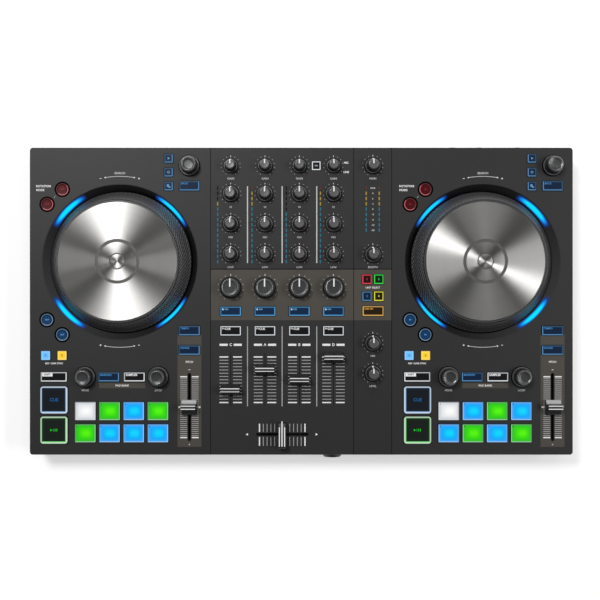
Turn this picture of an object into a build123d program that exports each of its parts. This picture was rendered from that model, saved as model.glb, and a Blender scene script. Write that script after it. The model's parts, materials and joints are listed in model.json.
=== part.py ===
from build123d import *
import os

# Four-channel DJ controller with two jog wheels, in millimetres.
# Origin: on the table under the middle of the case. +X to the right, +Y to the back, +Z up.

# ---------------------------------------------------------------- driving dimensions
CASE_WIDTH = 527.0
CASE_DEPTH = 298.0
CASE_CORNER_R = 3.0
FOOT_HEIGHT = 4.0
SEAM_Z = 28.0
SEAM_GAP = 0.4
PANEL_Z = 43.5
SHEET = 2.0
EDGE_CHAMFER = 0.5
UNDERSIDE_Z = PANEL_Z - SHEET
# Shallow grooves in the panel, where its three fields meet
SEAM_WIDTH = 0.5
SEAM_DEPTH = 0.4
SEAMS_X = [-88.0, 50.8, 87.7]
SEAM_Y = 31.0

BOARD_TOP_Z = 33.5
BOARD_THICKNESS = 1.6
BOARD_BOTTOM_Z = BOARD_TOP_Z - BOARD_THICKNESS

# Jog wheels, one per deck
DECK_X = {"left": -176.15, "right": 176.15}
JOG_Y = 38.2
PLATE_R = 57.2
PLATE_TOP_Z = 58.5
PLATE_THICKNESS = 2.5
RIM_TOP_R = 58.6
RIM_TOP_Z = 57.4
RIM_R = 68.8
RIM_BASE_Z = 34.2
RIM_SKIRT = 1.7
RING_INNER_R = 70.0
RING_OUTER_R = 75.6
RING_FLANGE_R = 80.0
RING_DEPTH = 12.0
BEARING_R = 8.0
BEARING_BORE_R = 4.02
BEARING_HEIGHT = 7.0
BEARING_Z = 42.0
HUB_R = 11.0
RUNNING_GAP = 0.05
BOARD_JOG_CUTOUT_R = 82.0

# Buttons: size of the visible cap, gap to the panel all round, hidden flange, travel
CAP_GAP = 0.3
CAP_FLANGE = 0.65
CAP_FLANGE_HEIGHT = 1.6
SWITCH_SIZE = 6.0
SWITCH_HEIGHT = 3.4
SWITCH_PLUNGER_R = 1.6
SWITCH_PLUNGER_HEIGHT = 0.6
BUTTON_TRAVEL = 0.9
CAP_BOTTOM_Z = BOARD_TOP_Z + SWITCH_HEIGHT + SWITCH_PLUNGER_HEIGHT + BUTTON_TRAVEL + 0.1
SMALL_RISE = 1.2
ROUND_RISE = 0.2
PAD_RISE = 1.4
TRANSPORT_RISE = 1.6

# Rotary controls
SHAFT_R = 3.0
SHAFT_TOP_Z = PANEL_Z + 9.0
SHAFT_HOLE_R = 3.6
KNOB_GAP = 0.4
KNOB_BORE_TOP_Z = SHAFT_TOP_Z + 0.6
POINTER_WIDTH = 1.25
POINTER_DEPTH = 0.3
POT_SIZE = 9.6
POT_HEIGHT = 7.0
ENCODER_SIZE = 12.0
ENCODER_HEIGHT = 6.5

# Faders
CHANNEL_TRAVEL = 22.1
TEMPO_TRAVEL = 29.5
CROSS_TRAVEL = 22.05
SLOT_WIDTH = {"channel": 3.2, "tempo": 3.2, "cross": 2.6}
FADER_BODY_WIDTH = 9.0
FADER_BODY_MARGIN = 12.0
LEVER_THICKNESS = 1.2
LEVER_LENGTH = 3.5
LEVER_BOTTOM_Z = 36.5
FADER_CHANNEL_Z = 36.0

# ---------------------------------------------------------------- layout of the panel
CHANNELS = {"c": -68.5, "a": -35.2, "b": -1.9, "d": 31.2}
MASTER_X = 69.4
GAIN_Y = 131.3
TONE_Y = {"high": 104.3, "mid": 75.0, "low": 45.8}
EFFECT_Y = 13.2
MASTER_Y = {
    "master_volume": 131.3,
    "booth_volume": 45.4,
    "phones_mix": -40.5,
    "phones_volume": -69.9,
}
CHANNEL_FADER_Y = -76.2
# Where each channel cap is parked, measured from the middle of its slot
CHANNEL_FADER_REST = {"c": -9.1, "a": 10.5, "b": 0.8, "d": 22.1}
CROSSFADER = (-18.5, -129.2)
TEMPO_DX = 67.6
TEMPO_Y = -102.8

# Encoders of a deck: distance from the jog wheel's middle in X, and Y
DECK_ENCODERS = {
    "browse": (67.6, 131.5),
    "move": (-33.4, -73.2),
    "loop": (37.5, -73.2),
}

# Rectangular small buttons of a deck: (dx, y, width, depth)
DECK_BUTTONS = [
    (47.4, 138.5, 8.9, 8.9),
    (47.4, 125.05, 8.9, 8.9),
    (47.4, 111.6, 8.9, 8.9),
    (67.6, 111.9, 19.9, 9.7),
    (67.5, -28.5, 21.0, 9.5),
    (67.5, -47.4, 21.0, 9.5),
    (-71.65, -52.6, 9.3, 9.3),
    (-55.7, -52.6, 9.3, 9.3),
    (-63.8, -73.3, 25.6, 9.6),
    (-10.5, -73.4, 20.6, 9.1),
    (14.3, -73.4, 20.6, 9.1),
]
# Round small buttons: (dx, dy) from the jog wheel's middle
ROUND_BUTTON_R = 5.9
# Each round one sits in a dish pressed into the panel
DISH_BOTTOM_R = 6.3
DISH_TOP_R = 7.6
DISH_DEPTH = 1.2
DECK_ROUND_BUTTONS = [(-55.7, 70.3), (-70.5, 55.8), (-70.6, -56.2), (-55.8, -70.7)]

TRANSPORT_SIZE = 27.0
TRANSPORT_DX = -63.5
TRANSPORT_Y = [-95.7, -124.9]

PAD_WIDTH = 20.5
PAD_DEPTH = 18.1
PAD_DX = [-33.2, -9.75, 13.7, 37.15]
PAD_Y = [-106.4, -127.9]

MIXER_BUTTONS = (
    [(x, -9.7, 20.6, 9.4) for x in CHANNELS.values()]
    + [(x, -28.7, 20.3, 9.5) for x in CHANNELS.values()]
    + [(x, y, 9.6, 9.6) for y in (21.3, 4.85) for x in (63.7, 75.1)]
    + [(69.6, -9.5, 20.8, 9.9), (14.5, 131.3, 9.0, 9.0)]
)

# Level meters: (x, y of the top segment, segments)
SEGMENT_WIDTH = 1.3
SEGMENT_LENGTH = 3.3
SEGMENT_PITCH = 5.1
METERS = [(x - 12.65, 109.8, 15) for x in CHANNELS.values()] + [
    (63.0, 109.8, 9),
    (75.6, 109.8, 9),
]

# Screws: through-bolted case posts, and short board screws
POST_R = 3.5
SCREW_R = 1.2
SCREW_HOLE_R = 1.25
SCREW_HEAD_R = 2.2
SCREW_HEAD_HEIGHT = 1.8
COUNTERBORE_R = 2.4
POST_TOP_Z = 30.0
SCREW_SEAT_Z = 22.0
SCREW_LENGTH = 14.0
CASE_POSTS = [(x, y) for x in (-257.8, 257.8) for y in (-135.0, -10.0, 135.0)] + [
    (x, y) for x in (-88.0, 88.0) for y in (-138.0, 138.0)
]
STANDOFF_R = 2.5
BOARD_SCREW_LENGTH = 5.0
DECK_STANDOFFS = [(-81.35, -120.0), (-81.35, 120.0), (80.9, -140.0), (80.9, 140.0)]
MIXER_STANDOFFS = [(x, y) for x in (-79.0, 79.0) for y in (-141.0, 141.0)]

# Sockets
SOCKET_Z = 17.0
SOCKET_PROUD = 3.3
BEZEL_PROUD = 4.7
SOCKET_WALL_GAP = 0.2
SOCKET_WALL_CUT = 6.0
SOCKET_SETBACK = SHEET + 1.6
JACK_R = 3.2
JACK_BODY = (14.0, 26.0, 13.0)
JACK_DEPTH = 24.0
HEADPHONE_X = 30.5
HEADPHONE_Z = 21.0
BEZEL_R = 11.6
BEZEL_FRONT_R = 8.2
REAR_JACKS_X = [150.0, 176.0, 214.0]
RCA_X = [-32.0, -16.0, 10.0, 26.0, 52.0, 68.0]
RCA_R = 4.15
RCA_BORE_R = 1.6
RCA_BODY = (12.0, 12.0, 12.0)
USB_X = -176.0
USB_SIZE = (12.0, 16.0, 11.0)
USB_PORT = (8.5, 7.8)
USB_DEPTH = 9.0
POWER_X = -214.0
POWER_BODY = (11.0, 13.0, 11.0)
POWER_PIN_R = 1.0

FOOT_R = 9.0
FOOT_PEG_R = 2.5
FOOT_PLACES = [(x, y) for x in (-235.0, 235.0) for y in (-125.0, 125.0)]

TRAY_BOTTOM_Z = FOOT_HEIGHT
TRAY_FLOOR_Z = TRAY_BOTTOM_Z + SHEET
TRAY_TOP_Z = SEAM_Z - SEAM_GAP
LIP_LOW_Z = TRAY_TOP_Z - 4.0
LIP_WALL = 1.3
LIP_GAP = 0.1


# ---------------------------------------------------------------- helpers
def block(x, y, z_low, z_high, width, depth):
    """Box centred at x, y, standing between two heights."""
    return Pos(x, y, (z_low + z_high) / 2) * Box(width, depth, z_high - z_low)


def drum(x, y, z_low, z_high, radius):
    """Upright cylinder between two heights."""
    return Pos(x, y, (z_low + z_high) / 2) * Cylinder(radius, z_high - z_low)


def spun(points, x=0.0, y=0.0):
    """Solid of revolution about an upright axis at x, y, from (radius, height) points."""
    profile = make_face(Polyline([(r, 0, z) for r, z in points], close=True))
    return Pos(x, y, 0) * revolve(profile, Axis.Z)


def rounded_outline(width, depth, radius, z, x=0.0, y=0.0):
    """Wire of a rounded rectangle lying at height z."""
    return Pos(x, y, z) * RectangleRounded(width, depth, radius).face().outer_wire()


def circle_outline(radius, z, x, y):
    return Pos(x, y, z) * Circle(radius).face().outer_wire()


def prism(width, depth, radius, x, y, z_low, z_high, top_chamfer=0.0):
    """Rounded-corner block, with an optional chamfer round its top."""
    solid = extrude(Pos(x, y, z_low) * RectangleRounded(width, depth, radius), z_high - z_low)
    if top_chamfer:
        solid = chamfer(solid.faces().sort_by(Axis.Z)[-1].edges(), top_chamfer)
    return solid


def group(solids):
    """Separate solids written to one file."""
    return Compound(children=[part.solid() for part in solids])


# ---------------------------------------------------------------- where everything sits
def rotary_places():
    """Every knob: name -> (x, y, kind)."""
    places = {}
    for letter, x in CHANNELS.items():
        places[f"channel_{letter}_gain_knob"] = (x, GAIN_Y, "gain")
        for band, y in TONE_Y.items():
            places[f"channel_{letter}_{band}_knob"] = (x, y, "tone")
        places[f"channel_{letter}_effect_knob"] = (x, EFFECT_Y, "effect")
    for name, y in MASTER_Y.items():
        places[f"{name}_knob"] = (MASTER_X, y, "tone")
    for side, deck_x in DECK_X.items():
        for name, (dx, y) in DECK_ENCODERS.items():
            places[f"{side}_{name}_knob"] = (deck_x + dx, y, "encoder")
    return places


def fader_places():
    """Every fader: cap name -> (slot x, slot y, travel each way, parked offset, kind)."""
    places = {}
    for letter, x in CHANNELS.items():
        rest = CHANNEL_FADER_REST[letter]
        places[f"channel_{letter}_fader_cap"] = (x, CHANNEL_FADER_Y, CHANNEL_TRAVEL, rest, "channel")
    places["crossfader_cap"] = (*CROSSFADER, CROSS_TRAVEL, 0.0, "cross")
    for side, deck_x in DECK_X.items():
        places[f"{side}_tempo_cap"] = (deck_x + TEMPO_DX, TEMPO_Y, TEMPO_TRAVEL, 0.0, "tempo")
    return places


def deck_small_buttons(deck_x):
    """Small button caps of one deck: (x, y, width, depth, corner radius, rise above the panel)."""
    caps = [(deck_x + dx, y, w, d, 0.8, SMALL_RISE) for dx, y, w, d in DECK_BUTTONS]
    size = 2 * ROUND_BUTTON_R
    corner = ROUND_BUTTON_R - 0.01
    for x, y in round_button_places(deck_x):
        caps.append((x, y, size, size, corner, ROUND_RISE))
    return caps


def round_button_places(deck_x):
    return [(deck_x + dx, JOG_Y + dy) for dx, dy in DECK_ROUND_BUTTONS]


def transport_buttons(deck_x):
    x = deck_x + TRANSPORT_DX
    return [(x, y, TRANSPORT_SIZE, TRANSPORT_SIZE, 2.0, TRANSPORT_RISE) for y in TRANSPORT_Y]


def pad_buttons(deck_x):
    return [(deck_x + dx, y, PAD_WIDTH, PAD_DEPTH, 1.0, PAD_RISE) for y in PAD_Y for dx in PAD_DX]


def mixer_small_buttons():
    return [(x, y, w, d, 0.8, SMALL_RISE) for x, y, w, d in MIXER_BUTTONS]


def button_groups():
    """Every group of caps that shares a node: name -> caps."""
    groups = {}
    for side, deck_x in DECK_X.items():
        groups[f"{side}_pads"] = pad_buttons(deck_x)
        groups[f"{side}_transport_buttons"] = transport_buttons(deck_x)
        groups[f"{side}_deck_buttons"] = deck_small_buttons(deck_x)
    groups["mixer_buttons"] = mixer_small_buttons()
    return groups


def meter_windows():
    """Middle of each lit segment, one list per meter."""
    return [[(x, top - i * SEGMENT_PITCH) for i in range(count)] for x, top, count in METERS]


def standoff_places():
    places = list(MIXER_STANDOFFS)
    for side, deck_x in DECK_X.items():
        outward = -1 if side == "left" else 1
        places += [(deck_x - outward * dx, y) for dx, y in DECK_STANDOFFS]
    return places


# ---------------------------------------------------------------- case
def panel_openings(z):
    """Outlines of every opening in the top panel."""
    wires = [circle_outline(RING_OUTER_R + 0.05, z, x, JOG_Y) for x in DECK_X.values()]
    for caps in button_groups().values():
        for x, y, width, depth, corner, _ in caps:
            size = (width + 2 * CAP_GAP, depth + 2 * CAP_GAP, corner + CAP_GAP)
            wires.append(rounded_outline(*size, z, x, y))
    for x, y, _ in rotary_places().values():
        wires.append(circle_outline(SHAFT_HOLE_R, z, x, y))
    for x, y, travel, _, kind in fader_places().values():
        length = 2 * travel + 7.0
        width = SLOT_WIDTH[kind]
        size = (length, width) if kind == "cross" else (width, length)
        wires.append(rounded_outline(*size, 0.9, z, x, y))
    for meter in meter_windows():
        for x, y in meter:
            wires.append(rounded_outline(SEGMENT_WIDTH, SEGMENT_LENGTH, 0.3, z, x, y))
    return wires


def top_cover():
    """Folded sheet cover: panel, skirt, screw bosses and board standoffs."""
    outline = rounded_outline(CASE_WIDTH, CASE_DEPTH, CASE_CORNER_R, PANEL_Z)
    panel = extrude(Face(outline, panel_openings(PANEL_Z)), SHEET, dir=(0, 0, -1))
    border = panel.faces().sort_by(Axis.Z)[-1].outer_wire().edges()
    panel = chamfer(border, EDGE_CHAMFER)
    skirt = prism(CASE_WIDTH, CASE_DEPTH, CASE_CORNER_R, 0, 0, SEAM_Z, UNDERSIDE_Z)
    skirt -= prism(
        CASE_WIDTH - 2 * SHEET, CASE_DEPTH - 2 * SHEET, CASE_CORNER_R - SHEET + 0.1, 0, 0, SEAM_Z, UNDERSIDE_Z
    )
    cover = panel + skirt
    bosses = [drum(x, y, POST_TOP_Z + 0.1, UNDERSIDE_Z, POST_R) for x, y in CASE_POSTS]
    bosses += [drum(x, y, BOARD_TOP_Z, UNDERSIDE_Z, STANDOFF_R) for x, y in standoff_places()]
    holes = [drum(x, y, POST_TOP_Z, POST_TOP_Z + 8, SCREW_HOLE_R) for x, y in CASE_POSTS]
    holes += [drum(x, y, BOARD_TOP_Z, BOARD_TOP_Z + 5, SCREW_HOLE_R) for x, y in standoff_places()]
    seam_z = PANEL_Z - SEAM_DEPTH
    seams = [block(x, 0, seam_z, PANEL_Z + 1, SEAM_WIDTH, CASE_DEPTH) for x in SEAMS_X]
    left_x, right_x = SEAMS_X[0], SEAMS_X[-1]
    seams.append(block((left_x + right_x) / 2, SEAM_Y, seam_z, PANEL_Z + 1, right_x - left_x, SEAM_WIDTH))
    dishes = []
    for deck_x in DECK_X.values():
        for x, y in round_button_places(deck_x):
            dishes.append(Pos(x, y, PANEL_Z - DISH_DEPTH / 2) * Cone(DISH_BOTTOM_R, DISH_TOP_R, DISH_DEPTH))
    return cover + bosses - holes - seams - dishes


def bottom_case():
    """Tray: floor, walls, screw posts, and the openings for sockets, feet and spindles."""
    depth = CASE_DEPTH - 2 * SHEET
    tray = prism(CASE_WIDTH, CASE_DEPTH, CASE_CORNER_R, 0, 0, TRAY_BOTTOM_Z, TRAY_TOP_Z)
    tray -= prism(CASE_WIDTH - 2 * SHEET, depth, CASE_CORNER_R - SHEET + 0.1, 0, 0, TRAY_FLOOR_Z, TRAY_TOP_Z)
    # A lip inside the wall closes the seam and locates the cover
    width = CASE_WIDTH - 2 * SHEET
    lip = prism(width, depth, 1.1, 0, 0, LIP_LOW_Z, TRAY_TOP_Z)
    lip += prism(width - 2 * LIP_GAP, depth - 2 * LIP_GAP, 0.9, 0, 0, TRAY_TOP_Z, POST_TOP_Z)
    lip -= prism(width - 2 * LIP_WALL, depth - 2 * LIP_WALL, 0.8, 0, 0, LIP_LOW_Z, POST_TOP_Z)
    tray += lip
    tray += [drum(x, y, TRAY_BOTTOM_Z, POST_TOP_Z, POST_R) for x, y in CASE_POSTS]
    cuts = []
    for x, y in CASE_POSTS:
        cuts.append(drum(x, y, TRAY_BOTTOM_Z, SCREW_SEAT_Z, COUNTERBORE_R))
        cuts.append(drum(x, y, SCREW_SEAT_Z, POST_TOP_Z, SCREW_HOLE_R))
    cuts += [drum(x, y, TRAY_BOTTOM_Z, TRAY_FLOOR_Z, FOOT_PEG_R + 0.05) for x, y in FOOT_PLACES]
    rear_y = CASE_DEPTH / 2 - SHEET / 2
    for x in REAR_JACKS_X:
        cuts.append(Pos(x, rear_y, SOCKET_Z) * Rot(90, 0, 0) * Cylinder(5.0 + SOCKET_WALL_GAP, SOCKET_WALL_CUT))
    for x in RCA_X:
        cuts.append(Pos(x, rear_y, SOCKET_Z) * Rot(90, 0, 0) * Cylinder(5.4 + SOCKET_WALL_GAP, SOCKET_WALL_CUT))
    for x, size in ((USB_X, USB_SIZE), (POWER_X, POWER_BODY)):
        cuts.append(Pos(x, rear_y, SOCKET_Z) * Box(size[0] + 0.4, SOCKET_WALL_CUT, size[2] + 0.4))
    front_hole = Rot(90, 0, 0) * Cylinder(5.0 + SOCKET_WALL_GAP, SOCKET_WALL_CUT)
    cuts.append(Pos(HEADPHONE_X, -rear_y, HEADPHONE_Z) * front_hole)
    # Cooling slots in the floor, in two rows
    for x in range(-60, 61, 12):
        for y in (-60.0, 60.0):
            cuts.append(prism(3.0, 34.0, 1.4, x, y, TRAY_BOTTOM_Z, TRAY_FLOOR_Z))
    return tray - cuts


def rubber_feet():
    feet = []
    for x, y in FOOT_PLACES:
        profile = [
            (0, 0),
            (FOOT_R - 0.8, 0),
            (FOOT_R, 0.8),
            (FOOT_R, FOOT_HEIGHT),
            (FOOT_PEG_R, FOOT_HEIGHT),
            (FOOT_PEG_R, TRAY_FLOOR_Z + 1.5),
            (0, TRAY_FLOOR_Z + 1.5),
        ]
        feet.append(spun(profile, x, y))
    return group(feet)


def case_screws():
    """Long screws up through the tray posts and short screws through the boards."""
    screws = []
    for x, y in CASE_POSTS:
        head = drum(x, y, SCREW_SEAT_Z - SCREW_HEAD_HEIGHT, SCREW_SEAT_Z, SCREW_HEAD_R)
        socket = drum(x, y, SCREW_SEAT_Z - SCREW_HEAD_HEIGHT, SCREW_SEAT_Z - 0.8, 1.0)
        shank = drum(x, y, SCREW_SEAT_Z, SCREW_SEAT_Z + SCREW_LENGTH, SCREW_R)
        screws.append(head + shank - socket)
    for x, y in standoff_places():
        head = drum(x, y, BOARD_BOTTOM_Z - 1.5, BOARD_BOTTOM_Z, SCREW_HEAD_R)
        shank = drum(x, y, BOARD_BOTTOM_Z, BOARD_BOTTOM_Z + BOARD_SCREW_LENGTH, SCREW_R)
        screws.append(head + shank)
    return group(screws)


# ---------------------------------------------------------------- jog wheels
def jog_light_ring(x):
    """Translucent funnel that carries the deck's light round the jog wheel."""
    inner_bottom_z = PANEL_Z - 10.0
    profile = [
        (RING_OUTER_R - 0.6, PANEL_Z),
        (RING_OUTER_R, PANEL_Z),
        (RING_OUTER_R, UNDERSIDE_Z),
        (RING_FLANGE_R, UNDERSIDE_Z),
        (RING_FLANGE_R, UNDERSIDE_Z - SHEET),
        (RING_OUTER_R, UNDERSIDE_Z - SHEET),
        (RING_INNER_R + 2, PANEL_Z - RING_DEPTH),
        (RING_INNER_R, PANEL_Z - RING_DEPTH),
        (RING_INNER_R, inner_bottom_z),
    ]
    return spun(profile, x, JOG_Y)


def jog_rim(x):
    """Moulded rim with its hub, turning on the bearing."""
    seat_z = PLATE_TOP_Z - PLATE_THICKNESS
    bore_r = BEARING_R + RUNNING_GAP
    profile = [
        (bore_r, 40.0),
        (HUB_R, 40.0),
        (HUB_R, seat_z - 2.5),
        (RIM_TOP_R - 3, seat_z - 2.5),
        (RIM_R - 2.2, RIM_BASE_Z),
        (RIM_R - 2.2, RIM_BASE_Z - RIM_SKIRT),
        (RIM_R, RIM_BASE_Z - RIM_SKIRT),
        (RIM_R, RIM_BASE_Z),
        (RIM_TOP_R + 0.9, RIM_TOP_Z - 0.9),
        (RIM_TOP_R, RIM_TOP_Z),
        (PLATE_R + 0.4, RIM_TOP_Z),
        (PLATE_R + 0.4, seat_z),
        (bore_r, seat_z),
    ]
    return spun(profile, x, JOG_Y)


def jog_plate(x):
    """Turned metal disc let into the rim, with a shallow dimple in the middle."""
    seat_z = PLATE_TOP_Z - PLATE_THICKNESS
    profile = [
        (0, seat_z),
        (PLATE_R, seat_z),
        (PLATE_R, PLATE_TOP_Z - 0.5),
        (PLATE_R - 0.5, PLATE_TOP_Z),
        (4.0, PLATE_TOP_Z),
        (0, PLATE_TOP_Z - 0.8),
    ]
    return spun(profile, x, JOG_Y)


def jog_spindles():
    """Post and axle under each wheel, and the ball bearing the hub turns on."""
    parts = []
    for x in DECK_X.values():
        axle = [
            (0, TRAY_FLOOR_Z),
            (14, TRAY_FLOOR_Z),
            (14, TRAY_FLOOR_Z + 3),
            (7, TRAY_FLOOR_Z + 6),
            (7, 39.0),
            (6.2, 39.0),
            (6.2, BEARING_Z),
            (4, BEARING_Z),
            (4, 55.0),
            (0, 55.0),
        ]
        bearing = [
            (BEARING_BORE_R, BEARING_Z),
            (BEARING_R, BEARING_Z),
            (BEARING_R, BEARING_Z + BEARING_HEIGHT),
            (BEARING_BORE_R, BEARING_Z + BEARING_HEIGHT),
        ]
        parts += [spun(axle, x, JOG_Y), spun(bearing, x, JOG_Y)]
    return group(parts)


# ---------------------------------------------------------------- knobs and their controls
def knob_profile(kind):
    """Outside of a knob as (radius, height above the panel) points, from the base up."""
    if kind == "gain":
        return [(7.3, KNOB_GAP), (7.3, 1.4), (6.9, 2.0), (6.3, 2.2), (5.6, 3.2), (4.8, 13.4), (4.3, 14.2)]
    if kind == "tone":
        return [(8.15, KNOB_GAP), (8.15, 1.5), (7.7, 2.2), (7.0, 2.4), (6.2, 3.6), (5.2, 13.9), (4.7, 14.7)]
    if kind == "effect":
        return [(10.5, KNOB_GAP), (10.5, 1.8), (10.0, 2.6), (9.4, 3.2), (8.6, 12.0), (7.6, 13.6)]
    return [(10.4, KNOB_GAP), (10.4, 1.8), (9.6, 3.0), (8.4, 4.0), (7.75, 12.8), (6.3, 14.7)]


def knob(x, y, kind):
    outside = [(r, PANEL_Z + h) for r, h in knob_profile(kind)]
    top_z = outside[-1][1]
    bore_r = SHAFT_R + RUNNING_GAP
    inside = [(0, top_z), (0, KNOB_BORE_TOP_Z), (bore_r, KNOB_BORE_TOP_Z), (bore_r, PANEL_Z + KNOB_GAP)]
    body = spun(outside + inside, x, y)
    if kind == "encoder":
        return body
    # Groove for the pointer, from the middle to the rear edge
    reach = outside[-2][0]
    return body - block(x, y + reach / 2, top_z - POINTER_DEPTH, top_z + 1, POINTER_WIDTH, reach)


def rotary_controls():
    """Potentiometers and encoders on the boards, each with its shaft."""
    controls = []
    for x, y, kind in rotary_places().values():
        size, height = (ENCODER_SIZE, ENCODER_HEIGHT) if kind == "encoder" else (POT_SIZE, POT_HEIGHT)
        body = block(x, y, BOARD_TOP_Z, BOARD_TOP_Z + height, size, size)
        controls.append(body + drum(x, y, BOARD_TOP_Z + height, SHAFT_TOP_Z, SHAFT_R))
    return group(controls)


# ---------------------------------------------------------------- faders
def cap_profile(kind):
    """Side view of a fader cap: (distance along the travel, height above the panel)."""
    if kind == "channel":
        half = [(5.2, 0.6), (5.2, 6.0), (3.6, 7.2), (2.1, 12.6), (1.4, 13.6)]
    elif kind == "cross":
        half = [(4.0, 0.6), (4.0, 6.0), (3.2, 9.4), (2.6, 12.0), (1.2, 13.2)]
    else:
        half = [(7.3, 0.6), (7.3, 4.2), (3.4, 6.6), (2.2, 13.0), (1.4, 13.9)]
    return half + [(-s, h) for s, h in reversed(half)]


def fader_cap(x, y, rest, kind):
    """Cap and the lever it sits on, sliding along Y, or along X for the crossfader."""
    width = {"channel": 18.5, "cross": 24.4, "tempo": 15.4}[kind]
    section = Polyline([(0, s, h) for s, h in cap_profile(kind)], close=True)
    cap = extrude(make_face(section), width / 2, dir=(1, 0, 0), both=True)
    cap = chamfer(cap.edges().filter_by(Axis.X).sort_by(Axis.Z)[-2:], 0.3)
    lever_low = LEVER_BOTTOM_Z - PANEL_Z
    lever = block(0, 0, lever_low, 1.0, LEVER_THICKNESS, LEVER_LENGTH)
    cap += lever
    if kind == "cross":
        return Pos(x + rest, y, PANEL_Z) * Rot(0, 0, 90) * cap
    return Pos(x, y + rest, PANEL_Z) * cap


def slide_faders():
    """Slide potentiometers under the panel, each with the channel its lever runs in."""
    bodies = []
    for x, y, travel, _, kind in fader_places().values():
        length = 2 * (travel + FADER_BODY_MARGIN)
        channel = 2 * travel + LEVER_LENGTH + 1.5
        body = block(0, 0, BOARD_TOP_Z, UNDERSIDE_Z - 0.1, FADER_BODY_WIDTH, length)
        body -= block(0, 0, FADER_CHANNEL_Z, UNDERSIDE_Z, 2.2, channel)
        turn = Rot(0, 0, 90) if kind == "cross" else Rot(0, 0, 0)
        bodies.append(Pos(x, y, 0) * turn * body)
    return group(bodies)


# ---------------------------------------------------------------- buttons
def button_cap(x, y, width, depth, corner, rise):
    """Cap through the panel with a flange below it that keeps it in."""
    flange_top = UNDERSIDE_Z - 0.1
    flange = (width + 2 * CAP_FLANGE, depth + 2 * CAP_FLANGE, corner + CAP_FLANGE)
    base = prism(*flange, x, y, flange_top - CAP_FLANGE_HEIGHT, flange_top)
    stem = prism(width, depth, corner, x, y, flange_top, PANEL_Z + rise, top_chamfer=0.35)
    plunger = drum(x, y, CAP_BOTTOM_Z, flange_top - CAP_FLANGE_HEIGHT, 2.2)
    return base + stem + plunger


def button_group(caps):
    return group([button_cap(*cap) for cap in caps])


def key_switches():
    """One tactile switch under every button."""
    switches = []
    for caps in button_groups().values():
        for x, y, *_ in caps:
            body_top = BOARD_TOP_Z + SWITCH_HEIGHT
            body = block(x, y, BOARD_TOP_Z, body_top, SWITCH_SIZE, SWITCH_SIZE)
            switches.append(body + drum(x, y, body_top, body_top + SWITCH_PLUNGER_HEIGHT, SWITCH_PLUNGER_R))
    return group(switches)


def meter_light_guides():
    """Clear bars under the meters, with a tooth standing in every window."""
    guides = []
    for meter in meter_windows():
        x, top = meter[0]
        bottom = meter[-1][1]
        middle = (top + bottom) / 2
        length = top - bottom + SEGMENT_LENGTH
        bar = block(x, middle, UNDERSIDE_Z - 3.5, UNDERSIDE_Z - 0.1, 3.0, length + 2)
        teeth = [
            block(x, y, UNDERSIDE_Z - 0.2, PANEL_Z + 0.02, SEGMENT_WIDTH - 0.2, SEGMENT_LENGTH - 0.2)
            for _, y in meter
        ]
        guides.append(bar + teeth)
    return group(guides)


# ---------------------------------------------------------------- electronics
def chip(x, y, z, width, depth, height):
    return block(x, y, z, z + height, width, depth)


def circuit_boards():
    """Two deck boards, the mixer board and the socket board, with their larger chips."""
    parts = []
    posts = [drum(x, y, BOARD_BOTTOM_Z - 1, BOARD_TOP_Z + 1, POST_R + 0.5) for x, y in CASE_POSTS]
    posts += [drum(x, y, BOARD_BOTTOM_Z - 1, BOARD_TOP_Z + 1, SCREW_HOLE_R) for x, y in standoff_places()]
    for side, x in DECK_X.items():
        outward = -1 if side == "left" else 1
        low = min(outward * 92.0, outward * 261.0)
        width = 261.0 - 92.0
        board = block(low + width / 2, 0, BOARD_BOTTOM_Z, BOARD_TOP_Z, width, 292.0)
        board -= drum(x, JOG_Y, BOARD_BOTTOM_Z, BOARD_TOP_Z, BOARD_JOG_CUTOUT_R)
        parts.append(board - posts)
        parts.append(chip(x, -70, BOARD_BOTTOM_Z - 1.4, 12, 12, 1.4))
        parts.append(chip(x - 30, -70, BOARD_BOTTOM_Z - 6, 22, 5, 6))
    mixer = block(0, 0, BOARD_BOTTOM_Z, BOARD_TOP_Z, 168.0, 292.0)
    parts.append(mixer - posts)
    parts.append(chip(0, 40, BOARD_BOTTOM_Z - 1.4, 14, 14, 1.4))
    parts.append(chip(-30, 90, BOARD_BOTTOM_Z - 6, 30, 5, 6))
    parts.append(chip(30, 90, BOARD_BOTTOM_Z - 6, 30, 5, 6))
    # Socket board, on the tray floor along the back wall
    board_low = SOCKET_Z - JACK_BODY[2] / 2 - BOARD_THICKNESS
    post_holes = [drum(x, y, board_low - 1, board_low + 3, POST_R + 0.5) for x, y in CASE_POSTS]
    parts.append(block(0, 127.0, board_low, board_low + BOARD_THICKNESS, 460.0, 34.0) - post_holes)
    for x in (-120.0, -80.0, 120.0):
        parts.append(chip(x, 120, board_low + BOARD_THICKNESS, 12, 12, 1.6))
    return group(parts)


# ---------------------------------------------------------------- sockets
def facing_back(x, z, shape):
    """Turns a socket drawn with its mouth at y = 0 facing +Y, and sets it on the back wall."""
    return Pos(x, CASE_DEPTH / 2, z) * shape


def mouth_drum(radius, y_low, y_high):
    """Cylinder lying along Y."""
    return Pos(0, (y_low + y_high) / 2, 0) * Rot(90, 0, 0) * Cylinder(radius, y_high - y_low)


def jack_socket():
    """6.35 mm jack with its collar nut, mouth facing +Y."""
    width, depth, height = JACK_BODY
    body = Pos(0, -SOCKET_SETBACK - depth / 2, 0) * Box(width, depth, height)
    barrel = mouth_drum(5.0, -SOCKET_SETBACK, SOCKET_PROUD)
    nut = mouth_drum(7.6, 0.02, 2.6)
    bore = mouth_drum(JACK_R, SOCKET_PROUD - JACK_DEPTH, SOCKET_PROUD)
    return body + barrel + nut - bore


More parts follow.
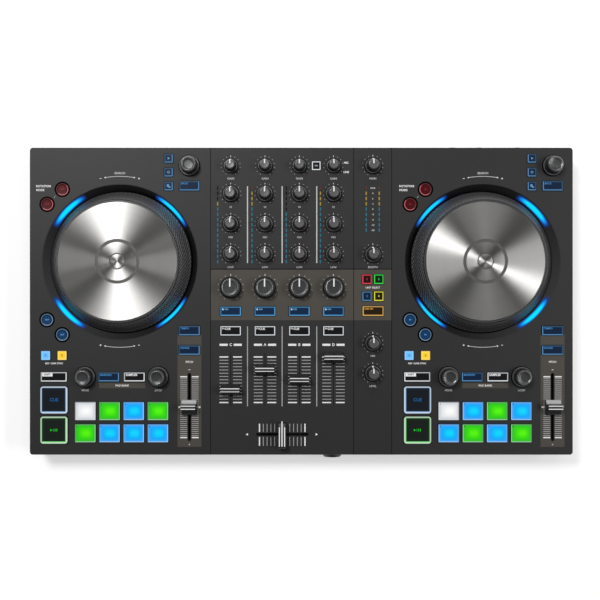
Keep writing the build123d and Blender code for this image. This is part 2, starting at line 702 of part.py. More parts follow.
def headphone_socket():
    """The same jack behind a conical bezel."""
    width, depth, height = JACK_BODY
    body = Pos(0, -SOCKET_SETBACK - depth / 2, 0) * Box(width, depth, height)
    barrel = mouth_drum(5.0, -SOCKET_SETBACK, 1.0)
    cone = Pos(0, 0.02 + (BEZEL_PROUD - 0.02) / 2, 0) * Rot(-90, 0, 0) * Cone(
        BEZEL_R, BEZEL_FRONT_R, BEZEL_PROUD - 0.02
    )
    bore = mouth_drum(JACK_R, BEZEL_PROUD - JACK_DEPTH, BEZEL_PROUD)
    return body + barrel + cone - bore


def rca_socket():
    width, depth, height = RCA_BODY
    body = Pos(0, -SOCKET_SETBACK - depth / 2, 0) * Box(width, depth, height)
    ring = mouth_drum(5.4, -SOCKET_SETBACK, 0.5)
    shell = mouth_drum(RCA_R, 0.5, SOCKET_PROUD)
    bore = mouth_drum(RCA_BORE_R, -8.0, SOCKET_PROUD)
    return body + ring + shell - bore


def usb_socket():
    width, depth, height = USB_SIZE
    shell = Pos(0, -depth / 2, 0) * Box(width, depth, height)
    port = Pos(0, -USB_DEPTH / 2, 0) * Box(USB_PORT[0], USB_DEPTH, USB_PORT[1])
    return shell - port


def power_socket():
    width, depth, height = POWER_BODY
    shell = Pos(0, -depth / 2, 0) * Box(width, depth, height)
    return shell - mouth_drum(JACK_R, -9.0, 0) + mouth_drum(POWER_PIN_R, -9.5, -1.0)


def sockets():
    """Back row of sockets and the headphone jack in the front wall."""
    parts = [facing_back(x, SOCKET_Z, jack_socket()) for x in REAR_JACKS_X]
    parts += [facing_back(x, SOCKET_Z, rca_socket()) for x in RCA_X]
    parts.append(facing_back(USB_X, SOCKET_Z, usb_socket()))
    parts.append(facing_back(POWER_X, SOCKET_Z, power_socket()))
    front = Pos(HEADPHONE_X, -CASE_DEPTH / 2, HEADPHONE_Z) * Rot(0, 0, 180)
    parts.append(front * headphone_socket())
    return group(parts)


# ---------------------------------------------------------------- assembly
def build_nodes():
    nodes = {
        "top_cover": top_cover(),
        "bottom_case": bottom_case(),
        "rubber_feet": rubber_feet(),
        "case_screws": case_screws(),
        "circuit_boards": circuit_boards(),
        "rotary_controls": rotary_controls(),
        "slide_faders": slide_faders(),
        "key_switches": key_switches(),
        "meter_light_guides": meter_light_guides(),
        "jog_spindles": jog_spindles(),
        "jog_light_rings": group([jog_light_ring(x) for x in DECK_X.values()]),
        "sockets": sockets(),
    }
    for side, x in DECK_X.items():
        nodes[f"{side}_jog_rim"] = jog_rim(x)
        nodes[f"{side}_jog_plate"] = jog_plate(x)
    for name, caps in button_groups().items():
        nodes[name] = button_group(caps)
    for name, (x, y, kind) in rotary_places().items():
        nodes[name] = knob(x, y, kind)
    for name, (x, y, _, rest, kind) in fader_places().items():
        nodes[name] = fader_cap(x, y, rest, kind)
    return nodes


os.makedirs("parts", exist_ok=True)
for node_name, shape in build_nodes().items():
    export_step(shape, f"parts/{node_name}.step")
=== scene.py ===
import json
from math import cos, hypot, pi, radians, sin, tanh

import bmesh
import bpy
import numpy as np
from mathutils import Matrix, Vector

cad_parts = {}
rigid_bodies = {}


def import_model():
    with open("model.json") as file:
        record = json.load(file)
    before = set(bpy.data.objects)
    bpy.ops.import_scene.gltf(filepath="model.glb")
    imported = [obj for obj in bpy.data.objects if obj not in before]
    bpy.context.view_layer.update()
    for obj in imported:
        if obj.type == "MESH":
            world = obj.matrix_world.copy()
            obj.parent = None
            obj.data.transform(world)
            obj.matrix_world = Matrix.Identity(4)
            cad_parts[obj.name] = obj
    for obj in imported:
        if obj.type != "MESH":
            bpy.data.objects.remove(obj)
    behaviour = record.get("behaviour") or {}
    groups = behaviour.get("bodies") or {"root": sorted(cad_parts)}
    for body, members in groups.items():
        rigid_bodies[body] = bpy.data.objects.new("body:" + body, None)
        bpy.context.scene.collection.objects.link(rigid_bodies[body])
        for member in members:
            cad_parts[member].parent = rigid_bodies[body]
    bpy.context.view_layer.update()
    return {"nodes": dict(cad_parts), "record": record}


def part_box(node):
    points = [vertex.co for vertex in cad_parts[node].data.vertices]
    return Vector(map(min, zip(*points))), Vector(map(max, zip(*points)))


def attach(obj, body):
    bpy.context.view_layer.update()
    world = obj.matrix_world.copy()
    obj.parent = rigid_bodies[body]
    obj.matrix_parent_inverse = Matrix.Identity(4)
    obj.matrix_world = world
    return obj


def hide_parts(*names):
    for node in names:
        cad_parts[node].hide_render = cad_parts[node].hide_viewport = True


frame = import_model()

MM = 0.001
CASE = "case"

# ---- places read from the frame
NODES = frame["nodes"]
COVER_LOW, COVER_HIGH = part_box("top_cover")
PANEL = COVER_HIGH.z / MM
CASE_W = (COVER_HIGH.x - COVER_LOW.x) / MM
CASE_D = (COVER_HIGH.y - COVER_LOW.y) / MM
SIDES = ("left", "right")
BODY_OF = {n: body for body, names in frame["record"]["behaviour"]["bodies"].items() for n in names}


def centre(node):
    """Middle of a CAD node in plan, in millimetres."""
    low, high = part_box(node)
    return (low.x + high.x) / 2 / MM, (low.y + high.y) / 2 / MM


def panel_place(node):
    """Point of the panel in the middle of a CAD node, in metres."""
    x, y = centre(node)
    return x * MM, y * MM, PANEL * MM


def islands(node):
    """Box of each separate solid in a CAD node: (x, y, width, depth, top), in millimetres."""
    bm = bmesh.new()
    bm.from_mesh(NODES[node].data)
    bmesh.ops.remove_doubles(bm, verts=bm.verts, dist=1e-6)
    seen, boxes = set(), []
    for start in bm.verts:
        if start in seen:
            continue
        seen.add(start)
        group = [start]
        for vert in group:
            for edge in vert.link_edges:
                other = edge.other_vert(vert)
                if other not in seen:
                    seen.add(other)
                    group.append(other)
        points = np.array([vert.co for vert in group]) / MM
        low, high = points.min(axis=0), points.max(axis=0)
        middle, size = (low + high) / 2, high - low
        boxes.append((*middle[:2], *size[:2], high[2]))
    bm.free()
    return boxes


DECK_X = {side: centre(f"{side}_jog_plate")[0] for side in SIDES}
JOG_Y = centre("left_jog_plate")[1]
CHANNELS = {letter: centre(f"channel_{letter}_effect_knob")[0] for letter in "cabd"}
MASTER_X = centre("master_volume_knob")[0]


# ---- colour and shaders
def srgb(red, green, blue):
    """Linear colour from display values of 0 to 255."""

    def linear(value):
        value /= 255
        return value / 12.92 if value <= 0.04045 else ((value + 0.055) / 1.055) ** 2.4

    return (linear(red), linear(green), linear(blue), 1.0)


def blend(a, b, t):
    return tuple(a[i] + (b[i] - a[i]) * t for i in range(3)) + (1.0,)


def scaled(colour, factor):
    return tuple(c * factor for c in colour[:3]) + (1.0,)


class Shader:
    """A Principled material and short calls for the nodes that give it detail."""

    def __init__(self, name, **inputs):
        self.material = bpy.data.materials.new(name)
        self.material.use_nodes = True
        self.tree = self.material.node_tree
        self.bsdf = self.tree.nodes["Principled BSDF"]
        for key, value in inputs.items():
            self.bsdf.inputs[key.replace("_", " ")].default_value = value
        self.coords = self.node("TexCoord")["Object"]

    def put(self, value, socket):
        if hasattr(value, "is_linked"):
            self.tree.links.new(value, socket)
        else:
            socket.default_value = value

    def node(self, kind, inputs=(), **settings):
        """Outputs of a new node. Each of the inputs gets a link or a value."""
        node = self.tree.nodes.new("ShaderNode" + kind)
        for key, value in settings.items():
            setattr(node, key, value)
        for key, value in dict(inputs).items():
            self.put(value, node.inputs[key])
        return node.outputs

    def math(self, operation, *values):
        return self.node("Math", enumerate(values), operation=operation)[0]

    def noise(self, scale, detail, vector=None):
        inputs = {"Vector": vector or self.coords, "Scale": scale, "Detail": detail}
        return self.node("TexNoise", inputs)["Fac"]

    def ramp(self, value, low, high, out_low, out_high):
        return self.node("MapRange", enumerate((value, low, high, out_low, out_high)))["Result"]

    def mix(self, factor, a, b):
        return self.node("Mix", {0: factor, 6: a, 7: b}, data_type="RGBA")[2]

    def mesh_colour(self):
        """Colour that the mesh gives to each face."""
        return self.node("Attribute", attribute_name="lit")["Color"]

    def axes(self):
        return self.node("SeparateXYZ", {0: self.coords})

    def set(self, key, value):
        self.put(value, self.bsdf.inputs[key])

    def bump(self, height, strength, distance=0.0002):
        inputs = {"Strength": strength, "Distance": distance, "Height": height}
        self.set("Normal", self.node("Bump", inputs)["Normal"])

    def finish(self, noise, roughness, vary, strength):
        """Uneven gloss and a fine grain, both from one noise."""
        self.set("Roughness", self.ramp(noise, 0.3, 0.7, roughness - vary, roughness + vary))
        self.bump(noise, strength)
        return self.material


def grained(name, colour, scale, strength, roughness, mottle=0.12, **inputs):
    """Mottled colour, uneven gloss and a fine grain, which every moulded or painted part has."""
    shader = Shader(name, **inputs)
    colour = srgb(*colour)
    light = tuple(min(1.0, c * (1 + mottle)) for c in colour[:3]) + (1.0,)
    shader.set("Base Color", shader.mix(shader.noise(scale / 12, 4.0), scaled(colour, 1 - mottle), light))
    return shader.finish(shader.noise(scale, 2.0), roughness, 0.08, strength)


# Seams of the panel from left to right, and the tempo slot from the middle of its deck
SEAMS_X = (-88.0, 50.8, 87.7)
TEMPO_DX = 67.6


def inside(calc, x, y, cx, cy, width, depth):
    """One inside a rectangle of the panel and nought outside it."""
    near = []
    for axis, middle, size in ((x, cx, width), (y, cy, depth)):
        away = calc("ABSOLUTE", calc("SUBTRACT", axis, middle * MM))
        near.append(calc("LESS_THAN", away, size / 2 * MM))
    return calc("MULTIPLY", *near)


def panel_paint():
    """Dark grey paint with the warmer printed fields and light wear on the outer edge."""
    shader = Shader("panel_paint", Specular_IOR_Level=0.24)
    calc = shader.math
    x, y, z = shader.axes()
    colour = shader.mix(shader.noise(700, 4.0), srgb(40, 40, 40), srgb(46, 46, 46))
    left, _, right = SEAMS_X
    fields = [((left + right) / 2, 6.3, right - left, 49.4)]
    for deck_x in DECK_X.values():
        fields.append((deck_x + TEMPO_DX, -86.85, 23.2, 108.9))
        fields.append((deck_x + 2.4, -81.9, 44.6, 5.0))
    mask = 0.0
    for field in fields:
        mask = calc("MAXIMUM", inside(calc, x, y, *field), mask)
    colour = shader.mix(mask, colour, srgb(76, 72, 66))
    sizes = ((x, CASE_W), (y, CASE_D))
    past = [calc("SUBTRACT", calc("ABSOLUTE", axis), (size / 2 - 0.45) * MM) for axis, size in sizes]
    edge = calc("GREATER_THAN", calc("MAXIMUM", *past), 0.0)
    edge = calc("MULTIPLY", edge, calc("GREATER_THAN", z, (PANEL - 0.7) * MM))
    wear = calc("MULTIPLY", edge, shader.ramp(shader.noise(90, 5.0), 0.45, 0.7, 0.0, 0.5))
    shader.set("Base Color", shader.mix(wear, colour, srgb(130, 130, 130)))
    return shader.finish(shader.noise(2600, 2.0), 0.45, 0.03, 0.1)


def lit_plastic(name, roughness, specular, tone=11):
    """Smoked plastic with a lamp behind it. The light's colour is in the mesh, together with painted highlights and
    painted sheen.
    """
    shader = Shader(name, Specular_IOR_Level=specular, Emission_Strength=1.0)
    fine = shader.noise(1500, 2.0)
    uneven = shader.ramp(fine, 0.35, 0.65, 0.0, 0.06)
    shader.set("Emission Color", shader.mix(uneven, shader.mesh_colour(), srgb(0, 0, 0)))
    dark, light = tone - 2, tone + 3
    shader.set("Base Color", shader.mix(fine, srgb(dark, dark, dark + 1), srgb(light, light, light + 1)))
    return shader.finish(fine, roughness, 0.06, 0.05)


def printed_ink():
    """Ink on the panel, which takes its shade from the mesh."""
    shader = Shader("printed_ink")
    noise = shader.noise(1800, 3.0)
    thin = shader.ramp(noise, 0.35, 0.7, 0.0, 0.18)
    shader.set("Base Color", shader.mix(thin, shader.mesh_colour(), srgb(60, 60, 60)))
    return shader.finish(noise, 0.575, 0.075, 0.05)


def brushed_metal():
    """Aluminium turned on a lathe: fine rings and a highlight that runs along the radius."""
    shader = Shader("turned_aluminium", Metallic=1.0, Anisotropic=1.0, Anisotropic_Rotation=0.25)
    calc = shader.math
    x, y, _ = shader.axes()
    squares = calc("ADD", calc("MULTIPLY", x, x), calc("MULTIPLY", y, y))
    radial = shader.node("CombineXYZ", {0: calc("SQRT", squares)})[0]
    rings = shader.noise(2600, 4.0, radial)
    broad = shader.noise(260, 3.0, radial)
    both = calc("ADD", calc("MULTIPLY", rings, 0.6), calc("MULTIPLY", broad, 0.4))
    shader.set("Base Color", shader.mix(both, srgb(156, 155, 153), srgb(176, 175, 173)))
    shader.set("Roughness", shader.ramp(both, 0.35, 0.65, 0.35, 0.39))
    shader.bump(rings, 0.05, 0.00005)
    shader.set("Tangent", shader.node("Tangent", direction_type="RADIAL", axis="Z")[0])
    return shader.material


# The floor is a white translucent sheet with a little light under it, as for catalogue pictures
FLOOR_GLOW = {"Emission_Color": srgb(255, 255, 255), "Emission_Strength": 0.47}
MATERIALS = {
    "panel": panel_paint(),
    # Near-black for the insides of the round buttons' dishes, as painted shade, and for the seam filler
    "dish": grained("dish_shade_and_seam_filler", (5, 5, 5), 1800, 0.1, 0.6, Specular_IOR_Level=0.1),
    "case": grained("case_paint", (34, 34, 35), 1800, 0.25, 0.5),
    "rubber": grained("foot_rubber", (26, 26, 26), 900, 0.3, 0.75),
    "steel": grained("plain_steel", (170, 170, 172), 1200, 0.05, 0.3, Metallic=1.0),
    "board": grained("board_laminate", (20, 78, 48), 700, 0.05, 0.35),
    "control_metal": grained("control_body", (34, 34, 35), 900, 0.1, 0.45, Metallic=0.6),
    "switch_plastic": grained("switch_plastic", (22, 22, 22), 900, 0.1, 0.5),
    "light_guide": grained("light_guide", (16, 20, 22), 900, 0.02, 0.2),
    "light_ring": lit_plastic("glowing_funnel", 0.3, 0.2, 20),
    "socket_black": grained("socket_plastic", (20, 20, 21), 1200, 0.1, 0.45),
    "jog_rim": grained("rim_moulding", (68, 68, 69), 2400, 0.2, 0.36),
    # Light grey streaks in the rim's grooves: painted highlight on the knurl
    "rim_rib_painted_highlight": grained("rim_rib_painted_highlight", (160, 160, 162), 2400, 0.2, 0.36),
    "rim_edge": grained("rim_edge", (18, 18, 18), 2400, 0.1, 0.3),
    "jog_metal": brushed_metal(),
    "etched": grained("etched_metal", (94, 93, 91), 1800, 0.25, 0.55, Metallic=0.9),
    # On the black knobs, the grey of the tops and bevels is painted sheen, and the effect knobs' lighter flank is
    # painted light
    "skirt": grained("knob_skirt", (5, 5, 5), 2200, 0.12, 0.5, Specular_IOR_Level=0.15),
    "skirt_face": grained("knob_skirt_face", (84, 84, 86), 2200, 0.1, 0.3),
    "flank": grained("knob_flank", (34, 34, 35), 2400, 0.15, 0.45),
    "bevel": grained("knob_bevel", (84, 84, 86), 2400, 0.1, 0.25, Specular_IOR_Level=0.9),
    "flank_painted_light": grained("knob_flank_painted_light", (88, 90, 90), 2400, 0.15, 0.4),
    "dark_knob": grained("knob_dark_top", (46, 48, 48), 2400, 0.2, 0.3, Specular_IOR_Level=0.6),
    "knob": grained("knob_top_painted_sheen", (84, 84, 86), 2400, 0.2, 0.4, Specular_IOR_Level=0.7),
    "felt": grained("slot_felt", (50, 50, 51), 2600, 0.3, 0.9),
    "fader_cap": grained("fader_cap_plastic", (40, 40, 41), 2200, 0.15, 0.42),
    # Light grey on the tempo caps' rear finger rest: a painted highlight
    "fader_painted_highlight": grained("fader_cap_painted_highlight", (176, 176, 176), 2200, 0.15, 0.45),
    "ink": grained("white_ink", (244, 244, 244), 1800, 0.05, 0.6, mottle=0.04),
    "pads": lit_plastic("lit_silicone", 0.4, 0.12),
    "button": lit_plastic("lit_caps", 0.32, 0.08),
    "print": printed_ink(),
    "floor": grained("studio_floor", (228, 228, 228), 40, 0.02, 0.9, mottle=0.01, **FLOOR_GLOW),
}


# ---- mesh builders
def add_object(name, data):
    made = bpy.data.objects.new(name, data)
    bpy.context.scene.collection.objects.link(made)
    return made


def add_piece(
    name, verts, faces, body, slot, materials, indices=None, colours=None, replaces=(), smooth=False, place=(0, 0, 0)
):
    """Makes one object from a mesh in millimetres and sets it on its body."""
    mesh = bpy.data.meshes.new(name)
    mesh.from_pydata([(x * MM, y * MM, z * MM) for x, y, z in verts], [], faces)
    for material in materials:
        mesh.materials.append(MATERIALS[material])
    if indices is not None:
        mesh.polygons.foreach_set("material_index", indices)
    if colours is not None:
        layer = mesh.color_attributes.new("lit", "FLOAT_COLOR", "CORNER")
        flat = []
        for polygon in mesh.polygons:
            for _ in range(polygon.loop_total):
                flat.extend(colours[polygon.index])
        layer.data.foreach_set("color", flat)
    mesh.update()
    if smooth:
        mesh.shade_smooth()
        mesh.set_sharp_from_angle(angle=radians(32))
    piece = add_object(name, mesh)
    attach(piece, body)
    piece.location = place
    if replaces:
        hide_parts(*replaces)


def rounded(points, radius, steps=3):
    """A profile with its corners rounded off by short curves."""
    result = [points[0]]
    for corners in zip(points, points[1:], points[2:]):
        before, corner, after = (np.array(p, float) for p in corners)
        ends = []
        for neighbour in (before, after):
            side = neighbour - corner
            length = np.linalg.norm(side)
            ends.append(corner + side / length * min(radius, length * 0.45))
        start, end = ends
        for step in range(steps + 1):
            t = step / steps
            result.append(tuple((1 - t) ** 2 * start + 2 * t * (1 - t) * corner + t * t * end))
    result.append(points[-1])
    return result


def circle(radius, height, segments):
    """Points of a level circle about the upright axis."""
    angles = [2 * pi * k / segments for k in range(segments)]
    return [(radius * cos(a), radius * sin(a), height) for a in angles]


def band(level, count):
    """Faces that join one ring of points to the next."""
    low, high = level * count, (level + 1) * count
    return [[low + k, low + (k + 1) % count, high + (k + 1) % count, high + k] for k in range(count)]


def spin(profile, segments, material_of):
    """Closed lathe mesh from (radius, height) points that start and end on the axis."""
    verts, faces, indices, rings = [], [], [], []
    for radius, height in profile:
        ring = [(0.0, 0.0, height)] if radius < 1e-6 else circle(radius, height, segments)
        rings.append([len(verts) + k % len(ring) for k in range(segments)])
        verts += ring
    for level, (lower, upper) in enumerate(zip(rings, rings[1:])):
        middle = (np.array(profile[level]) + np.array(profile[level + 1])) / 2
        for k in range(segments):
            n = (k + 1) % segments
            faces.append(list(dict.fromkeys((lower[k], lower[n], upper[n], upper[k]))))
        indices += [material_of(*middle)] * segments
    return verts, faces, indices


def outline(width, depth, corner, steps):
    """Points round a rounded rectangle about the origin."""
    corner = max(0.02, min(corner, width / 2 - 0.01, depth / 2 - 0.01))
    reach_x, reach_y = width / 2 - corner, depth / 2 - corner
    points = []
    for turn, (sx, sy) in enumerate(((1, 1), (-1, 1), (-1, -1), (1, -1))):
        for step in range(steps + 1):
            angle = pi / 2 * (turn + step / steps)
            points.append((sx * reach_x + corner * cos(angle), sy * reach_y + corner * sin(angle)))
    return points


QUADRANTS = ((-1, -1), (1, -1), (1, 1), (-1, 1))
INK = 0.05
LETTER = 0.025


class Mesh:
    """Gathers many small closed shapes into one mesh, with a colour on every face."""

    def __init__(self):
        self.verts, self.faces, self.colours = [], [], []

    def add(self, verts, faces, colours):
        base = len(self.verts)
        self.verts += verts
        self.faces += [[base + i for i in face] for face in faces]
        self.colours += colours

    def stack(self, cap, corner, levels, steps=5, soft=False):
        """Cap made of rounded outlines, for a box of (x, y, width, depth, top).

        Each level is (inset, height from the top, colour of the band up to it), and may add a
        sideways shift. A colour may be a function of the place on the outline, from -1 to 1 each
        way, where 1 is nearest the middle of the controller and furthest back. The inner outlines
        of a soft cap grow rounder.
        """
        x, y, width, depth, top = cap
        levels = [(*level, 0.0)[:4] for level in levels]
        verts, faces, colours = [], [], []
        count = 4 * (steps + 1)
        unit = [(2 * px / width, 2 * py / depth) for px, py in outline(width, depth, corner, steps)]
        inward = -1.0 if x > 0 else 1.0
        for inset, height, _, shift in levels:
            bend = max(corner - inset, inset * 0.9) if soft and inset > corner else corner - inset
            ring = outline(width - 2 * inset, depth - 2 * inset, bend, steps)
            verts += [(x + px + shift, y + py, top + height) for px, py in ring]
        for level, (_, _, colour, _) in enumerate(levels[1:]):
            faces += band(level, count)
            for (u, v), (next_u, next_v) in zip(unit, unit[1:] + unit[:1]):
                place = ((u + next_u) / 2 * inward, (v + next_v) / 2)
                colours.append(colour(*place) if callable(colour) else colour)
        faces.append(list(reversed(range(count))))
        colours.append(levels[0][2])
        _, height, colour, shift = levels[-1]
        tip, last = len(verts), (len(levels) - 1) * count
        verts.append((x + shift, y, top + height))
        faces += [[last + k, last + (k + 1) % count, tip] for k in range(count)]
        colours += [colour] * count
        self.add(verts, faces, colours)

    def plate(self, points, top, colour, thickness=INK):
        """Flat shape with a little thickness."""
        count = len(points)
        verts = [(px, py, z) for z in (top - thickness, top) for px, py in points]
        faces = [list(range(count, 2 * count)), list(reversed(range(count)))] + band(0, count)
        self.add(verts, faces, [colour] * len(faces))

    def bar(self, x, y, width, depth, top, colour, thickness=INK):
        points = [(x + sx * width / 2, y + sy * depth / 2) for sx, sy in QUADRANTS]
        self.plate(points, top, colour, thickness)

    def triangle(self, x, y, size, top, colour, turn=0.0):
        angles = [radians(turn + 120 * k) for k in range(3)]
        self.plate([(x + size * cos(a), y + size * sin(a)) for a in angles], top, colour)

    def arc(self, x, y, radius, width, start, stop, top, colour, steps=24):
        """Curved line between two angles in degrees."""
        inner, outer = radius - width / 2, radius + width / 2
        for step in range(steps):
            a, b = (radians(start + (stop - start) * s / steps) for s in (step, step + 1))
            corners = ((inner, a), (outer, a), (outer, b), (inner, b))
            self.plate([(x + r * cos(t), y + r * sin(t)) for r, t in corners], top, colour)

    def text(self, words, x, y, size, top, colour, weight, align="CENTER"):
        """Plain lettering. The weight makes the strokes bolder, in millimetres."""
        curve = bpy.data.curves.new("lettering", "FONT")
        curve.body = words
        curve.size = size
        curve.align_x = align
        curve.align_y = "CENTER"
        curve.extrude = LETTER
        curve.offset = weight
        curve.resolution_u = 2
        holder = bpy.data.objects.new("lettering", curve)
        mesh = bpy.data.meshes.new_from_object(holder)
        verts = [(x + v.co.x, y + v.co.y, top - LETTER + v.co.z) for v in mesh.vertices]
        faces = [list(p.vertices) for p in mesh.polygons]
        self.add(verts, faces, [colour] * len(faces))
        bpy.data.batch_remove((holder, curve, mesh))

    def finish(self, name, body, slot, material, **more):
        add_piece(name, self.verts, self.faces, body, slot, [material], colours=self.colours, **more)


# ---- CAD nodes that keep their shape
CAD_LOOKS = {
    "panel": "top_cover",
    "case": "bottom_case",
    "rubber": "rubber_feet",
    "steel": "case_screws jog_spindles",
    "board": "circuit_boards",
    "control_metal": "rotary_controls slide_faders",
    "switch_plastic": "key_switches",
    "light_guide": "meter_light_guides",
    "socket_black": "sockets",
}
for material_name, node_names in CAD_LOOKS.items():
    for node_name in node_names.split():
        node_materials = NODES[node_name].data.materials
        node_materials.clear()
        node_materials.append(MATERIALS[material_name])

# ---- jog wheels
PLATE_BOX, RIM_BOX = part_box("left_jog_plate"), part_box("left_jog_rim")
PLATE_R = (PLATE_BOX[1].x - PLATE_BOX[0].x) / 2 / MM
PLATE_TOP = PLATE_BOX[1].z / MM
RIM_LOW, RIM_HIGH = (corner.z / MM for corner in RIM_BOX)
RIM_R = (RIM_BOX[1].x - RIM_BOX[0].x) / 2 / MM
RIM_TOP_R = PLATE_R + 1.4
RIB_COUNT = 100
RIB_HEIGHT = 0.7
ETCHED_RING = (18.4, 21.4)


def jog_plate(side):
    """Turned plate with a rolled edge, a ring etched round the middle and a dimple."""
    low = PLATE_TOP - 2.5
    inner, outer = ETCHED_RING
    profile = rounded([(0, low), (PLATE_R, low), (PLATE_R, PLATE_TOP - 0.45), (PLATE_R - 0.5, PLATE_TOP)], 0.3)
    profile += [(radius, PLATE_TOP) for radius in (50, 40, 30, outer)]
    hollows = [(outer - 0.15, 0.12), (inner + 0.15, 0.12), (inner, 0), (8.0, 0), (7.8, 0.1), (7.0, 0.1)]
    hollows += [(6.8, 0), (4.0, 0), (2.5, 0.45), (1.2, 0.7), (0, 0.75)]
    profile += [(radius, PLATE_TOP - sunk) for radius, sunk in hollows]

    def material_of(radius, _):
        return 1 if inner < radius < outer or 6.8 < radius < 8.0 else 0

    mesh = spin(profile, 192, material_of)
    add_wheel_piece("jog_plate_turned", side, mesh, "jog_metal", ["jog_metal", "etched"], "jog_plate")


def add_wheel_piece(name, side, mesh, slot, materials, node):
    verts, faces, indices = mesh
    replaced, place = [f"{side}_{node}"], wheel_place(side)
    name, body = f"{side}_{name}", f"{side}_jog_wheel"
    add_piece(name, verts, faces, body, slot, materials, indices, None, replaced, True, place)


def wheel_place(side):
    return DECK_X[side] * MM, JOG_Y * MM, 0.0


def jog_rim(side):
    """Black rim whose sloping side carries slanted grip ribs."""
    segments = RIB_COUNT * 8
    base, side_top = RIM_LOW + 1.7, RIM_HIGH - 0.9
    slope_top_r = RIM_TOP_R + 0.9
    # Radius, height and depth of the ribs from 0 to 1
    levels = [(RIM_R - 2.2, RIM_LOW, 0.0), (RIM_R - 0.2, RIM_LOW, 0.0)]
    levels += [(RIM_R, RIM_LOW + 0.2, 0.0), (RIM_R, base, 0.0)]
    rows = 16
    for row in range(1, rows):
        t = row / rows
        edge = min(1.0, 6 * t, 6 * (1 - t))
        levels.append((RIM_R + (slope_top_r - RIM_R) * t, base + (side_top - base) * t, edge))
    edge_level = len(levels) + 1
    lip = [(slope_top_r, 0.9), (RIM_TOP_R + 0.55, 0.35), (RIM_TOP_R, 0)]
    lip += [(PLATE_R + out, sunk) for out, sunk in ((0.6, 0), (0.4, 0.15), (0.4, 1.2), (-6.0, 1.4))]
    levels += [(radius, RIM_HIGH - sunk, 0.0) for radius, sunk in lip]
    slant = radians(20)
    verts, faces, indices = [], [], []
    for radius, height, weight in levels:
        t = (height - base) / (side_top - base)
        for k in range(segments):
            angle = 2 * pi * k / segments
            phase = RIB_COUNT * (angle + slant * t)
            r = radius - RIB_HEIGHT * weight * (0.5 - 0.5 * tanh(3.0 * cos(phase)))
            verts.append((r * cos(angle), r * sin(angle), height))
    for level in range(len(levels) - 1):
        faces += band(level, segments)
        for k in range(segments):
            phase = RIB_COUNT * (2 * pi * (k + 0.5) / segments + slant * (level - 3) / (rows + 1))
            # Faces in the grooves take the light grey: painted highlight streaks along the ribs
            in_groove = 3 < level < edge_level - 1 and cos(phase) < -0.35
            indices.append(1 if level == edge_level else 2 if in_groove else 0)
    mesh = (verts, faces, indices)
    add_wheel_piece("jog_rim_ribbed", side, mesh, "jog_rim", ["jog_rim", "rim_edge", "rim_rib_painted_highlight"], "jog_rim")


# Colours of an arc of light from its edge inwards, each with the glow where it's full
GLOW_STEPS = ((0.2, srgb(10, 62, 150)), (0.48, srgb(16, 150, 245)), (0.75, srgb(0, 232, 255)))
# Where the painted sheen on the unlit slope is brightest, and how dark and bright it gets
FUNNEL_PAINTED_SHEEN_AT = {"left": radians(215), "right": radians(325)}
FUNNEL_DARK, FUNNEL_PAINTED_SHINE = 2, 50
FUNNEL_ROWS = 12


def funnel_sheen(side, angle):
    """Painted sheen on the unlit slope: a grey glow standing for the lamps' reflection, brightest on the outer front
    of each wheel.
    """
    share = (0.5 + 0.5 * cos(angle - FUNNEL_PAINTED_SHEEN_AT[side])) ** 1.6
    tone = FUNNEL_DARK + (FUNNEL_PAINTED_SHINE - FUNNEL_DARK) * share
    return srgb(tone, tone, tone + 1)


def funnel_light(unlit, from_centre, across):
    """Colour of the funnel at an angle from the middle of an arc and a place across its slope."""
    along = max(0.0, 1 - (from_centre / 17.0) ** 2)
    glow = along * max(0.0, 1 - (abs(across - 0.5) / 0.46) ** 1.6)
    dim, colour = 0.0, unlit
    for full, brighter in GLOW_STEPS:
        if glow < full:
            return blend(colour, brighter, (glow - dim) / (full - dim))
        dim, colour = full, brighter
    return colour


def light_ring(side):
    """Sloping funnel with four arcs of light in it."""
    segments = 360
    ring_low, ring_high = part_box("jog_light_rings")
    low, high = ring_low.z / MM, ring_high.z / MM
    outer = (ring_high.y / MM - JOG_Y) - 4.4
    profile = [(outer - 3.6, low), (outer, high - 2), (outer, high - 0.1), (outer - 0.1, high), (outer - 0.5, high)]
    slope_from, slope_to = (outer - 0.65, high - 0.15), (outer - 5.6, high - 10.0)
    first_lit = len(profile)
    for row in range(FUNNEL_ROWS + 1):
        t = row / FUNNEL_ROWS
        radius = slope_from[0] + (slope_to[0] - slope_from[0]) * t
        profile.append((radius, slope_from[1] + (slope_to[1] - slope_from[1]) * t))
    profile += [(outer - 5.6, low), (outer - 3.6, low)]
    verts, faces, colours = [], [], []
    for radius, height in profile:
        verts += circle(radius, height, segments)
    for level in range(len(profile) - 1):
        across = (level + 0.5 - first_lit) / FUNNEL_ROWS
        faces += band(level, segments)
        for degrees in range(segments):
            # The unlit slope carries the painted sheen as a faint glow
            unlit = funnel_sheen(side, radians(degrees + 0.5))
            colours.append(funnel_light(unlit, abs((degrees + 0.5) % 90 - 45), across))
    name, node = f"{side}_light_ring", "jog_light_rings"
    add_piece(name, verts, faces, CASE, "light_ring", ["light_ring"], None, colours, [node], True, wheel_place(side))


for side in SIDES:
    jog_plate(side)
    jog_rim(side)
    light_ring(side)

